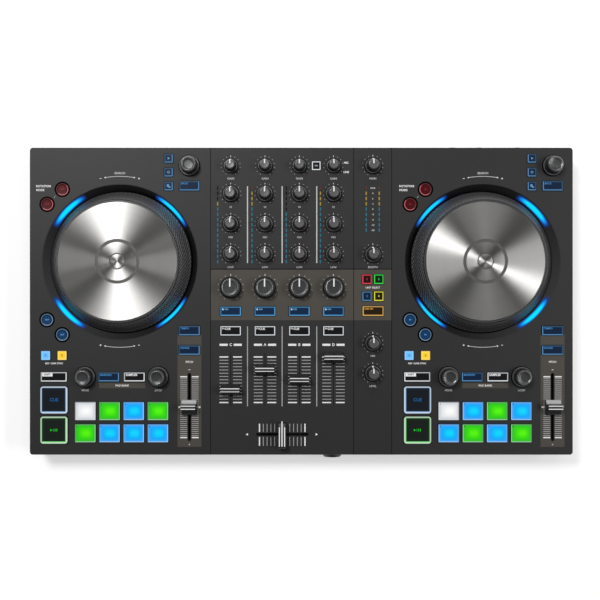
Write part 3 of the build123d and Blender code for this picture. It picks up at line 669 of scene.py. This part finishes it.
# ---- knobs
# Outside of each kind of knob: (radius, height above the panel), from the foot to the top
KNOB_SHAPES = {
    "gain": [(7.3, 0.4), (7.3, 1.2), (6.5, 2.1), (5.7, 2.0), (5.4, 3.0), (4.7, 13.0), (3.9, 14.2)],
    "tone": [(8.15, 0.4), (8.15, 1.2), (7.3, 2.3), (6.3, 2.1), (6.0, 3.4), (5.1, 13.5), (4.3, 14.7)],
    "effect": [(10.5, 0.4), (10.5, 1.8), (10.0, 2.6), (9.4, 3.2), (8.6, 12.4), (8.0, 13.6)],
    "encoder": [(10.4, 0.4), (10.4, 2.0), (9.7, 2.8), (8.4, 2.5), (8.1, 3.6), (7.5, 13.4), (6.5, 14.7)],
}
# Hollow of the top, from its edge to the middle: (radius, height)
KNOB_DISHES = {
    "encoder": [(6.1, 14.7), (5.2, 14.3), (3.6, 14.05), (0, 14.0)],
    "effect": [(7.5, 13.65), (6.7, 13.35), (5.8, 13.2), (0, 13.2)],
    "gain": [(3.5, 14.2), (0, 13.9)],
    "tone": [(3.9, 14.7), (0, 14.4)],
}
KNOB_WORDS = {"gain": "gain", "effect": "effect", "browse": "encoder", "move": "encoder", "loop": "encoder"}
POINTER_WIDTH = 1.25
POINTER_FOOT_R = 8.7


def knob_kind(node):
    return next((kind for word, kind in KNOB_WORDS.items() if word in node), "tone")


def knob_mesh(kind):
    """Knob about its own axis: black skirt with a bright lip, dark flank, and a lighter top that is painted sheen.
    """
    side = KNOB_SHAPES[kind]
    skirt_r = side[0][0]
    height = side[-1][1]
    profile = rounded([(0, 0.4)] + side + [(0, height)], 0.35)[:-1]
    profile += rounded(KNOB_DISHES[kind], 0.4)

    def material_of(radius, z):
        if z < 3.3:
            foot_r = side[-3][0]
            # The outer 0.75 mm of the skirt stays black: partly the skirt's own black edge, partly a painted contact
            # shadow round the knob
            return 1 if foot_r + 0.25 < radius < skirt_r - 0.75 and z > 1.6 else 0
        if radius < KNOB_DISHES[kind][1][0] and z > 12.0:
            return 3
        return 4 if z > side[-2][1] - 0.3 else 2

    return spin(profile, 72, material_of)


def pointer_mesh(kind):
    """White stripe from the middle of the top, over the edge and down the flank."""
    side = KNOB_SHAPES[kind]
    path = [(0.7, side[-1][1])] + list(reversed(side[2:]))
    path = [point for point in path if point[0] <= POINTER_FOOT_R]
    raised, sunk = [], []
    for index, (radius, z) in enumerate(path):
        before = path[max(0, index - 1)]
        after = path[min(len(path) - 1, index + 1)]
        run, drop = after[0] - before[0], after[1] - before[1]
        length = hypot(run, drop)
        out_r, out_z = -drop / length, run / length
        raised.append((radius + out_r * 0.12, z + out_z * 0.12))
        sunk.append((radius - out_r * 0.4, z - out_z * 0.4))
    ring = raised + list(reversed(sunk))
    count = len(ring)
    half = POINTER_WIDTH / 2
    verts = [(side_x, r, z) for side_x in (-half, half) for r, z in ring]
    faces = [list(range(count)), list(reversed(range(count, 2 * count)))]
    faces += [[b, a, d, c] for a, b, c, d in band(0, count)]
    return verts, faces


def build_knobs():
    shared = {kind: knob_mesh(kind) for kind in KNOB_SHAPES}
    for node in sorted(NODES):
        if not node.endswith("_knob"):
            continue
        kind, body = knob_kind(node), BODY_OF[node]
        place = panel_place(node)
        # The phones knobs, low on the panel, take the darker top as painted shade for the weaker light there; the
        # effect knobs' lighter flank is painted light
        top = "dark_knob" if kind in ("encoder", "effect") or "phones" in node else "knob"
        flank = "flank_painted_light" if kind == "effect" else "flank"
        materials = ["skirt", "skirt_face", flank, top, "bevel"]
        verts, faces, indices = shared[kind]
        add_piece(f"{node}_body", verts, faces, body, "knob", materials, indices, None, [node], True, place)
        if kind != "encoder":
            verts, faces = pointer_mesh(kind)
            add_piece(f"{node}_pointer", verts, faces, body, "knob", ["ink"], place=place)


build_knobs()

# ---- fader caps
DARK = srgb(3, 3, 4)
CAP_SIDE = {
    "channel": [(5.2, 0.6), (5.2, 5.4), (3.9, 6.6), (2.7, 9.5), (2.2, 12.9), (1.7, 13.6)],
    "cross": [(4.0, 0.6), (4.0, 6.0), (3.6, 9.4), (3.4, 12.2), (3.1, 12.6)],
    "tempo": [(7.3, 0.6), (7.3, 4.0), (6.8, 4.6), (4.2, 5.6), (3.0, 8.0), (2.3, 12.8), (1.8, 13.7)],
}
CAP_WIDTH = {"channel": 18.5, "cross": 24.4, "tempo": 15.4}
# White lines on a cap: (offset along the travel, middle and length across it, thickness)
CAP_LINES = {
    "channel": [(1.45, 0.0, 18.3, 0.85), (-1.45, 0.0, 18.3, 0.6)],
    "tempo": [(2.3, 0.0, 13.7, 0.85), (-0.6, 0.0, 13.7, 0.85)],
    "cross": [(-2.5, -0.9, 18.4, 1.0), (0.0, 2.0, 24.0, 1.1), (2.5, -0.9, 18.4, 1.0)],
}
# Tempo caps lean along the travel and grow narrower towards the top
RIDGE_SHIFT, TAPER = 0.85, 0.9
# Lever under a cap: thickness and length along the travel, then top and foot from the panel
LEVER_SIZE = (1.2, 3.5)
LEVER_TOP, LEVER_FOOT = 1.0, -7.0
CHANNEL_SLOT_Y, TEMPO_SLOT_Y = -76.2, -102.8
FELT_DX, FELT_WIDTH, FELT_LENGTH = 1.05, 1.5, 51.6


def fader_cap(node, kind):
    """Saddle-shaped cap on its lever: concave finger rests each side of a raised ridge."""
    body, width = BODY_OF[node], CAP_WIDTH[kind]
    top = max(h for _, h in CAP_SIDE[kind])
    section = rounded(CAP_SIDE[kind], 0.7)
    section += [(-s, h) for s, h in reversed(section)]
    count = len(section)
    insets = [(0.0, 0.55), (0.2, 0.2), (0.55, 0.0)]
    stations = [(-width / 2 + a, b) for a, b in insets] + [(width / 2 - a, b) for a, b in reversed(insets)]
    ridge_shift, taper = (RIDGE_SHIFT, TAPER) if kind == "tempo" else (0.0, 0.0)
    verts, faces, indices = [], [], []
    for across, inset in stations:
        shrink = 1 - inset / 6.0
        for s, h in section:
            lower = inset if h > 1.0 else 0.0
            narrow = 1 - taper * 2 / width * h / top
            shift = ridge_shift * (h / top) ** 2
            verts.append((across * narrow, s * shrink + shift, h - lower))
    for station in range(len(stations) - 1):
        faces += band(station, count)
        # The rear finger rest of a tempo cap takes the painted highlight where it faces the lamps
        indices += [int(kind == "tempo" and s > 2.9 and 3.6 < h < 6.5) for s, h in section]
    faces.append(list(reversed(range(count))))
    faces.append(list(range((len(stations) - 1) * count, len(stations) * count)))
    indices += [0, 0]
    if kind == "cross":
        verts = [(-y, x, z) for x, y, z in verts]
    place = panel_place(node)
    looks = ["fader_cap", "fader_painted_highlight"]
    add_piece(f"{node}_body", verts, faces, body, "fader_cap", looks, indices, None, [node], True, place)
    lines, lever = Mesh(), Mesh()
    for offset, middle, length, thick in CAP_LINES[kind]:
        if kind == "cross":
            rise = 0.6 if offset == 0.0 else 0.3
            lines.bar(offset, middle, thick, length, top + rise, DARK, 1.2)
        else:
            lines.bar(middle, offset, length, thick, top + 0.12, DARK, 1.0)
    lines.finish(f"{node}_lines", body, "fader_cap", "ink", place=place)
    across, along = LEVER_SIZE[::-1] if kind == "cross" else LEVER_SIZE
    lever.bar(0.0, 0.0, across, along, LEVER_TOP, DARK, LEVER_TOP - LEVER_FOOT)
    lever.finish(f"{node}_lever", body, "fader_cap", "steel", place=place)


def felt_lips():
    """Strips of felt in the channel slots, one each side of the lever, that keep dust out."""
    mesh = Mesh()
    for x in CHANNELS.values():
        for side in (-1, 1):
            mesh.bar(x + side * FELT_DX, CHANNEL_SLOT_Y, FELT_WIDTH, FELT_LENGTH, PANEL - 0.5, DARK, 0.3)
    mesh.finish("fader_slot_felt", CASE, "control_metal", "felt")


felt_lips()

for node_name in sorted(NODES):
    if node_name.endswith("_fader_cap"):
        fader_cap(node_name, "channel")
    elif node_name.endswith("_tempo_cap"):
        fader_cap(node_name, "tempo")
fader_cap("crossfader_cap", "cross")

# ---- buttons and pads
FLANGE = 0.65
ROUND_CAP = 11.8
# Lowest outline of a cap, sunk in its opening: (inset, height from the top, colour)
CAP_FOOT = (0.0, -3.0, DARK)
# Lit outline, and the face inside it
WHITE_CAP = (srgb(228, 232, 236), srgb(16, 16, 17))
BLUE_CAP = (srgb(84, 160, 214), srgb(12, 38, 68))
DIM_BLUE_CAP = (srgb(88, 138, 184), srgb(10, 32, 58))
GREEN_CAP = (srgb(56, 234, 78), srgb(8, 30, 10))
RED_CAP = (srgb(238, 72, 88), srgb(30, 6, 9))
YELLOW_CAP = (srgb(236, 234, 64), srgb(30, 28, 6))
AMBER_CAP = (srgb(230, 180, 96), srgb(36, 24, 6))
PALE_BLUE = srgb(112, 190, 255)
GOLD = srgb(255, 206, 60)
# Pads: middle, edge and corner of the glow
PAD_COLOURS = {
    "white": (srgb(255, 255, 255), srgb(226, 229, 233), srgb(206, 209, 214)),
    "green": (srgb(84, 246, 0), srgb(24, 206, 0), srgb(70, 186, 60)),
    "blue": (srgb(0, 214, 255), srgb(0, 156, 255), srgb(84, 174, 246)),
}
PAD_ORDER = {
    "left": "white green blue green green blue blue blue".split(),
    "right": "white blue green blue blue green blue green".split(),
}
PAD_RINGS = 14


def finish_caps(mesh, marks, node, slot, caps_name, marks_name, material="button"):
    mesh.finish(caps_name, node, slot, material, replaces=[node], smooth=True)
    marks.finish(marks_name, node, slot, "button")


def lit(colour, low):
    """Backlit outline with a painted highlight: full brightness in front and on the side nearer the middle of the
    controller, dimmer elsewhere.
    """

    def shade(u, v):
        lean = max(-1.0, min(1.0, (abs(u) - abs(v)) * 8))
        across = 1.0 if u > 0 else low
        along = 1.0 if v < 0 else low
        return scaled(colour, across * (1 + lean) / 2 + along * (1 - lean) / 2)

    return shade


def pads(side):
    node = f"{side}_pads"
    caps = sorted(without_flange(node), key=lambda cap: (-round(cap[1]), cap[0]))
    mesh, marks = Mesh(), Mesh()
    for number, (cap, colour_name) in enumerate(zip(caps, PAD_ORDER[side]), 1):
        x, y, width, depth, top = cap
        middle, edge, corner = PAD_COLOURS[colour_name]
        # Whitened rim, brighter on one side: a painted highlight over the pad's glow
        rim = lit(blend(corner, srgb(225, 235, 240), 0.6), 0.35)
        levels = [CAP_FOOT, (0.0, -0.5, DARK), (0.1, -0.3, scaled(edge, 0.1))]
        levels += [(0.4, 0.0, scaled(edge, 0.25)), (0.9, 0.0, rim), (1.1, 0.0, corner)]
        for ring in range(1, PAD_RINGS + 1):
            t = ring / PAD_RINGS
            inset = 1.1 + (depth / 2 - 1.4) * t
            outer_part = blend(corner, edge, min(1.0, t / 0.35))
            colour = blend(outer_part, middle, max(0.0, min(1.0, (t - 0.2) / 0.7)))
            levels.append((inset, 0.12 * sin(t * pi / 2), colour, 1.3 * t))
        mesh.stack(cap, 1.0, levels, soft=True)
        place = (x - width / 2 + 2.2, y + depth / 2 - 2.6)
        marks.text(str(number), *place, 2.3, top + 0.08, scaled(edge, 0.15), 0.06)
    finish_caps(mesh, marks, node, "pads", f"{side}_pad_caps", f"{side}_pad_numbers", "pads")


def outlined_cap(mesh, cap, look, line_width=0.85, sunk=0.12, low=0.3):
    """Cap with a dark edge, a lit outline just inside it and a darker face."""
    line, face = look
    margin = 0.35
    inner = margin + line_width
    span = max(0.3, min(cap[2:4]) / 2 - inner - 1.0)
    levels = [CAP_FOOT, (0.0, -0.4, DARK), (0.1, -0.15, DARK), (margin, 0.0, scaled(line, 0.12))]
    levels += [(inner, 0.0, lit(line, low)), (inner + 0.15, -sunk, scaled(line, 0.18))]
    levels += [(inner + 0.8, -sunk, scaled(face, 1.5)), (inner + 0.8 + span * 0.5, -sunk, face)]
    mesh.stack(cap, 0.8, levels)


def without_flange(node):
    return [(x, y, w - 2 * FLANGE, d - 2 * FLANGE, top) for x, y, w, d, top in islands(node)]


def transport(side):
    """The two large buttons: cue above, play and pause below."""
    node = f"{side}_transport_buttons"
    caps = sorted(without_flange(node), key=lambda cap: -cap[1])
    mesh, marks = Mesh(), Mesh()
    looks = (
        (srgb(206, 222, 240), srgb(22, 27, 33), srgb(40, 124, 196)),
        (srgb(200, 232, 200), srgb(24, 32, 25), srgb(24, 205, 44)),
    )
    for cap, (line, face, glow) in zip(caps, looks):
        levels = [CAP_FOOT, (0.0, -0.4, DARK), (0.15, -0.15, DARK), (0.6, 0.0, scaled(line, 0.3))]
        levels += [(1.7, 0.0, lit(line, 0.8)), (2.5, -0.1, lit(blend(line, glow, 0.7), 0.12))]
        levels += [(2.8, -0.35, scaled(glow, 0.1)), (4.5, -0.35, face), (9.0, -0.35, scaled(face, 0.85))]
        mesh.stack(cap, 3.0, levels, steps=8)
    (x, y, _, _, top), (px, py, _, _, _) = caps
    z = top - 0.28
    marks.text("CUE", x, y, 4.4, z, scaled(looks[0][2], 0.5), 0.12)
    glow = looks[1][2]
    marks.triangle(px - 2.9, py, 1.35, z, glow)
    for dx, width, depth in ((-0.6, 0.4, 2.6), (1.1, 0.75, 2.4), (2.8, 0.75, 2.4)):
        marks.bar(px + dx, py, width, depth, z, glow)
    finish_caps(mesh, marks, node, "transport", f"{side}_transport_caps", f"{side}_transport_marks")


def is_round(cap):
    return all(abs(size - ROUND_CAP) < 0.4 for size in cap[2:4])


def round_cap(mesh, marks, cap):
    """Low round cap with a ring of light at its edge: red behind the wheel, blue before it."""
    x, y, width, _, top = cap
    if y > JOG_Y:
        ring, face, word, low = srgb(214, 112, 118), srgb(66, 2, 6), srgb(150, 52, 58), 0.16
    else:
        ring, face, word, low = srgb(128, 160, 188), srgb(12, 50, 86), srgb(112, 168, 214), 0.6
    levels = [CAP_FOOT, (0.0, -0.3, DARK), (0.2, 0.0, scaled(ring, 0.3)), (0.75, 0.0, lit(ring, low))]
    levels += [(1.0, -0.1, scaled(face, 0.5)), (2.2, -0.1, face), (4.2, -0.1, scaled(face, 1.25))]
    mesh.stack(cap, width / 2, levels, steps=10)
    marks.text("IN" if x + y > 0 else "OUT", x, y, 1.9, top, word, 0.05)


def deck_buttons(side):
    node = f"{side}_deck_buttons"
    deck_x = DECK_X[side]
    mesh, marks = Mesh(), Mesh()
    blue_word, white_word = srgb(70, 134, 190), srgb(238, 238, 240)
    words = [("BACK", 67.6, 111.9), ("TEMPO", 67.5, -28.5), ("RANGE", 67.5, -47.4), ("MARKERS", -10.5, -73.4)]
    for cap in without_flange(node):
        x, y, width, depth, top = cap
        dx = x - deck_x
        z = top - 0.02
        left, upper = x - width / 2 + 2.0, y + depth / 2 - 2.7
        if is_round(cap):
            round_cap(mesh, marks, cap)
        elif width < 10 and y < 0:
            colour = PALE_BLUE if dx < -60 else GOLD
            look = (blend(colour, srgb(255, 255, 255), 0.25), colour)
            outlined_cap(mesh, cap, look, line_width=0.5, sunk=0.05, low=0.8)
            marks.text("A" if dx < -60 else "B", x, y, 2.4, z + 0.06, scaled(colour, 0.2), 0.06)
        elif width < 10:
            outlined_cap(mesh, cap, DIM_BLUE_CAP)
            icon = srgb(100, 150, 192)
            if y > 135:
                marks.triangle(x, y, 1.5, z, icon)
            elif y > 120:
                marks.arc(x, y, 1.0, 0.6, 0, 360, z, icon, 16)
            else:
                marks.bar(x - 0.5, y + 0.5, 2.2, 2.4, z, icon)
                marks.bar(x + 0.9, y - 0.9, 2.2, 1.4, z + 0.03, icon)
        elif width > 24:
            outlined_cap(mesh, cap, WHITE_CAP, low=0.6)
            marks.bar(left + 4.6, upper, 10.0, 3.4, z, white_word)
            marks.text("SHIFT", left + 4.6, upper, 2.6, z + 0.03, DARK, 0.06)
        elif abs(dx - 14.3) < 1:
            outlined_cap(mesh, cap, WHITE_CAP, low=0.6)
            marks.text("SAMPLER", left, upper, 2.8, z, white_word, 0.08, "LEFT")
        else:
            outlined_cap(mesh, cap, DIM_BLUE_CAP)
            word = min(words, key=lambda entry: hypot(entry[1] - dx, entry[2] - y))[0]
            marks.text(word, left, upper, 2.6, z, blue_word, 0.05, "LEFT")
    finish_caps(mesh, marks, node, "button", f"{side}_deck_caps", f"{side}_deck_marks")


def mixer_buttons():
    node = "mixer_buttons"
    mesh, marks = Mesh(), Mesh()
    select = [(DIM_BLUE_CAP, "3"), (YELLOW_CAP, "4"), (RED_CAP, "1"), (GREEN_CAP, "2")]
    for cap in without_flange(node):
        x, y, width, depth, top = cap
        z = top - 0.02
        left, upper = x - width / 2 + 2.0, y + depth / 2 - 2.9
        if abs(width - 9.6) < 0.3:
            look, number = select[int(x > MASTER_X) + 2 * int(y > 13)]
            outlined_cap(mesh, cap, look, line_width=0.8, low=0.75)
            marks.text(number, x, y, 2.8, z, look[0], 0.05)
        elif width < 9.4:
            outlined_cap(mesh, cap, WHITE_CAP, low=0.9)
            marks.text("ON", x, y, 2.0, z, srgb(190, 190, 192), 0.05)
        elif y > -15 and x < 50:
            outlined_cap(mesh, cap, BLUE_CAP, low=0.55)
            marks.bar(left + 0.8, upper, 1.6, 1.6, z, srgb(170, 205, 232))
            marks.text("ON", left + 2.4, upper, 2.2, z, srgb(120, 176, 216), 0.05, "LEFT")
        elif y > -15:
            outlined_cap(mesh, cap, AMBER_CAP, low=0.7)
            marks.text("CUE ON", left, upper, 2.2, z, srgb(226, 170, 70), 0.05, "LEFT")
        else:
            outlined_cap(mesh, cap, WHITE_CAP, line_width=0.75, low=0.85)
            marks.arc(left + 0.9, upper, 0.9, 0.55, -30, 210, z, srgb(226, 226, 228), 10)
            marks.text("CUE", left + 2.5, upper, 2.9, z, srgb(236, 236, 238), 0.08, "LEFT")
    finish_caps(mesh, marks, node, "button", "mixer_caps", "mixer_cap_marks")


def darken_dishes():
    """The dishes round the round buttons are painted black inside, as painted shade in the recesses, and the seams
    get the same dark filler.
    """
    cover = NODES["top_cover"].data
    cover.materials.append(MATERIALS["dish"])
    caps = [cap for side in SIDES for cap in without_flange(f"{side}_deck_buttons") if is_round(cap)]
    for polygon in cover.polygons:
        middle = polygon.center / MM
        if not PANEL - 1.5 < middle.z < PANEL - 0.01:
            continue
        in_seam = abs(middle.z - (PANEL - 0.4)) < 0.01 and abs(polygon.normal.z) > 0.9
        if in_seam or any(hypot(middle.x - cap[0], middle.y - cap[1]) < 8.0 for cap in caps):
            polygon.material_index = 1


for side in SIDES:
    pads(side)
    transport(side)
    deck_buttons(side)
mixer_buttons()
darken_dishes()

# ---- printed scales and lettering
INK_Z = PANEL + 0.04
WHITE, GREY, FAINT = srgb(250, 250, 250), srgb(212, 212, 212), srgb(176, 176, 176)
METER_TOP, METER_PITCH = 109.8, 5.1
SCALE_GAP = 4.6
DOT_RING_R = {"gain": 9.3, "tone": 9.9, "effect": 12.3}


def knob_dots(mesh, x, y, radius, dots, size):
    """Ring of dots over 300 degrees, with a longer mark at the top."""
    for k in range(dots):
        angle = radians(-60 + 300 * k / (dots - 1))
        length, colour = (size * 2.2, GREY) if k == (dots - 1) // 2 else (size, FAINT)
        mesh.bar(x + radius * cos(angle), y + radius * sin(angle), size, length, INK_Z, colour)


def channel_scale(mesh, x, y, travel, ticks, length):
    """Ticks on both sides of a slot, with stronger ones at its ends."""
    for k in range(ticks):
        end = k in (0, ticks - 1)
        for side in (-1, 1):
            place = (x + side * (SCALE_GAP / 2 + length / 2), y - travel + 2 * travel * k / (ticks - 1))
            mesh.bar(*place, length, 1.2 if end else 0.65, INK_Z, WHITE if end else FAINT)


def labels(marks, rows):
    """Words on the panel: (word, x, y, size, colour, weight), and perhaps how it aligns."""
    for word, x, y, size, colour, *rest in rows:
        marks.text(word, x, y, size, INK_Z, colour, *rest)


def mixer_prints(marks):
    for x in (-52.2, -18.6, 15.0):
        for low, high, width, colour in ((37.0, 111.6, 1.05, GREY), (-102.0, -24.4, 0.9, FAINT)):
            marks.bar(x, (low + high) / 2, width, high - low, INK_Z, colour)
    for node in NODES:
        if node.endswith("_knob") and knob_kind(node) != "encoder":
            kind = knob_kind(node)
            knob_dots(marks, *centre(node), DOT_RING_R[kind], 13, 0.8 if kind == "effect" else 0.65)
    for letter, x in CHANNELS.items():
        labels(marks, [(letter.upper(), x, -42.3, 3.6, WHITE, 0.1)])
        for side in (-1, 1):
            marks.bar(x + side * 6.85, -42.3, 7.8, 2.1, INK_Z, WHITE)
        channel_scale(marks, x, CHANNEL_SLOT_Y, 22.1, 15, 8.6)
        labels(marks, [("GAIN", x, 118.9, 2.8, GREY, 0.05)])
        labels(marks, [(word, x, y, 2.5, GREY, 0.03) for y, word in ((91.3, "HI"), (61.9, "MID"), (32.9, "LOW"))])
    x = MASTER_X
    words = [("MAIN", x, 118.9, 2.8, GREY, 0.05), ("BOOTH", x, 32.9, 2.6, GREY, 0.04)]
    words += [("MIX", x, -53.2, 2.6, GREY, 0.04), ("LEVEL", x, -82.5, 2.6, GREY, 0.04)]
    words += [("UNIT SELECT", x, 13.1, 2.4, WHITE, 0.05)]
    words += [("MIC", 43.6, 134.2, 2.6, WHITE, 0.08), ("LINE", 43.6, 125.2, 2.6, WHITE, 0.08)]
    for index, word in enumerate("MAX 9 6 3 0 -3 -6 -12 -24".split()):
        words.append((word, x, METER_TOP - 0.2 - index * METER_PITCH, 2.3, GREY, 0.05))
    labels(marks, words)


def seam_lines():
    """Dark filler in the seams of the panel."""
    mesh = Mesh()
    left, _, right = SEAMS_X
    for x in SEAMS_X:
        mesh.bar(x, 0, 0.6, CASE_D - 1.2, PANEL + 0.01, DARK)
    mesh.bar((left + right) / 2, 31.1, right - left, 0.8, PANEL + 0.02, DARK)
    mesh.finish("panel_seams", CASE, "panel", "dish")


def crossfader_prints(marks):
    x, y = centre("crossfader_cap")
    for k in range(13):
        end = k in (0, 12)
        tick = (1.2, WHITE) if end else (0.65, FAINT)
        for dy, length in ((6.35, 7.9), (-6.8, 8.6)):
            marks.bar(x - 22.05 + 44.1 * k / 12, y + dy, tick[0], length, INK_Z, tick[1])
    marks.triangle(x - 34.0, y, 1.5, INK_Z, WHITE, 180)
    marks.triangle(x + 33.1, y, 1.5, INK_Z, WHITE)


def jog_arcs(marks, deck_x):
    """Curved arrows above and below the wheel."""
    radius, span, tip_span = 82.9, 9.3, 9.8
    for up in (1, -1):
        middle = 90 * up
        marks.arc(deck_x, JOG_Y, radius, 0.5, middle - span, middle + span, INK_Z, GREY)
        for end in (-1, 1):
            turn = middle + end * tip_span
            tip_x = deck_x + radius * cos(radians(turn))
            tip_y = JOG_Y + radius * sin(radians(turn))
            marks.triangle(tip_x, tip_y, 1.0, INK_Z, WHITE, turn + 90 * end)
        # A minus on one side and a plus on the other
        for dx, width, depth, lift in ((-18.6, 1.8, 0.5, 0.0), (18.6, 1.8, 0.5, 0.0), (18.6, 0.5, 1.8, 0.01)):
            marks.bar(deck_x + dx * up, JOG_Y + 80.8 * up, width, depth, INK_Z + lift, WHITE)
    labels(marks, [("SEARCH", deck_x, JOG_Y + 85.9, 2.9, GREY, 0.05)])


def deck_prints(marks, side):
    deck_x = DECK_X[side]
    tempo_x = deck_x + TEMPO_DX
    channel_scale(marks, tempo_x, TEMPO_SLOT_Y, 29.5, 31, 6.6)
    for end in (-1, 1):
        marks.bar(tempo_x + end * 6.6, TEMPO_SLOT_Y, 8.0, 1.5, INK_Z, WHITE)
    marks.bar(tempo_x, -66.5, 1.8, 0.55, INK_Z, WHITE)
    labels(marks, [("+", tempo_x, -139.2, 3.0, GREY, 0.06), ("PITCH", tempo_x, -59.0, 2.6, WHITE, 0.06)])
    words = [
        ("MOVE", -33.4, -86.6, 2.6, GREY, 0.03),
        ("LOOP", 37.5, -86.6, 2.6, GREY, 0.03),
        ("PAD BANK", 2.4, -81.9, 2.7, WHITE, 0.05),
        ("KEY / LINK SYNC", -63.7, -60.4, 2.3, WHITE, 0.06),
    ]
    labels(marks, [(word, deck_x + dx, *rest) for word, dx, *rest in words])
    jog_arcs(marks, deck_x)
    for y, word in ((111.5, "ROTATION"), (107.7, "MODE")):
        labels(marks, [(word, deck_x - 81.2, y, 2.8, WHITE, 0.08, "LEFT")])
    slash = [(-0.85, -1.0), (-0.6, -1.05), (0.85, 1.0), (0.6, 1.05)]
    marks.plate([(deck_x - 63.1 + a, JOG_Y + 63.05 + b) for a, b in slash], INK_Z, WHITE)


def build_prints():
    marks = Mesh()
    seam_lines()
    mixer_prints(marks)
    crossfader_prints(marks)
    for side in SIDES:
        deck_prints(marks, side)
    marks.finish("panel_print", CASE, "panel", "print")


build_prints()

# ---- level meters
TEAL, UNLIT = srgb(44, 112, 130), srgb(2, 2, 2)
METER_YELLOW, METER_RED = srgb(164, 138, 62), srgb(96, 48, 48)


def meters():
    mesh = Mesh()
    columns = [(x - 12.65, 15, dark) for x, dark in zip(CHANNELS.values(), (3, 0, 5, 0))]
    columns += [(63.0, 9, 0), (75.6, 9, 0)]
    for x, count, dark in columns:
        for k in range(count):
            colour = UNLIT if k < dark else METER_RED if k == 0 else METER_YELLOW if k < 4 else TEAL
            mesh.bar(x, METER_TOP - k * METER_PITCH, 1.2, 3.2, PANEL + 0.08, colour, 0.3)
    mesh.finish("meter_segments", CASE, "light_guide", "button")


meters()

# ---- studio
CAMERA_HEIGHT = 1.0435
FRAME_WIDTH = 0.5821
SENSOR = 36.0
FLOOR_REACH = 60.0
WORLD_STRENGTH = 0.07
# Name, place, target, width, depth and power
SOFTBOXES = (
    ("key_softbox", (-0.68, 0.74, 2.1), (-0.68, 0.74, 0.0), 0.5, 0.5, 27.0),
    ("side_softbox", (1.5, 0.03, 1.9), (0.0, 0.0, 0.0), 1.1, 0.5, 18.0),
    ("rear_softbox", (0.0, 2.6, 2.2), (0.0, 0.0, 0.0), 1.6, 0.4, 18.0),
    ("top_softbox", (0.66, 0.66, 2.1), (0.66, 0.66, 0.0), 0.3, 0.3, 2.0),
)


def add_light(name, location, target, width, depth, power):
    data = bpy.data.lights.new(name, "AREA")
    data.shape = "RECTANGLE"
    data.size = width
    data.size_y = depth
    data.energy = power
    light = add_object(name, data)
    light.location = location
    direction = Vector(target) - Vector(location)
    light.rotation_euler = direction.to_track_quat("-Z", "Y").to_euler()


def studio():
    scene = bpy.context.scene
    floor_mesh = bpy.data.meshes.new("floor")
    floor_mesh.from_pydata([(FLOOR_REACH * x, FLOOR_REACH * y, 0) for x, y in QUADRANTS], [], [(0, 1, 2, 3)])
    floor_mesh.materials.append(MATERIALS["floor"])
    add_object("floor", floor_mesh)
    world = bpy.data.worlds.new("studio")
    scene.world = world
    world.use_nodes = True
    background = world.node_tree.nodes["Background"]
    background.inputs["Color"].default_value = (1.0, 1.0, 1.0, 1.0)
    background.inputs["Strength"].default_value = WORLD_STRENGTH
    for light in SOFTBOXES:
        add_light(*light)
    camera_data = bpy.data.cameras.new("camera")
    camera_data.lens = SENSOR * (CAMERA_HEIGHT - PANEL * MM) / FRAME_WIDTH
    camera_data.sensor_width = SENSOR
    camera = add_object("camera", camera_data)
    camera.location = (-1.26 * MM, 1.16 * MM, CAMERA_HEIGHT)
    scene.camera = camera
    scene.view_settings.view_transform = "Standard"


studio()
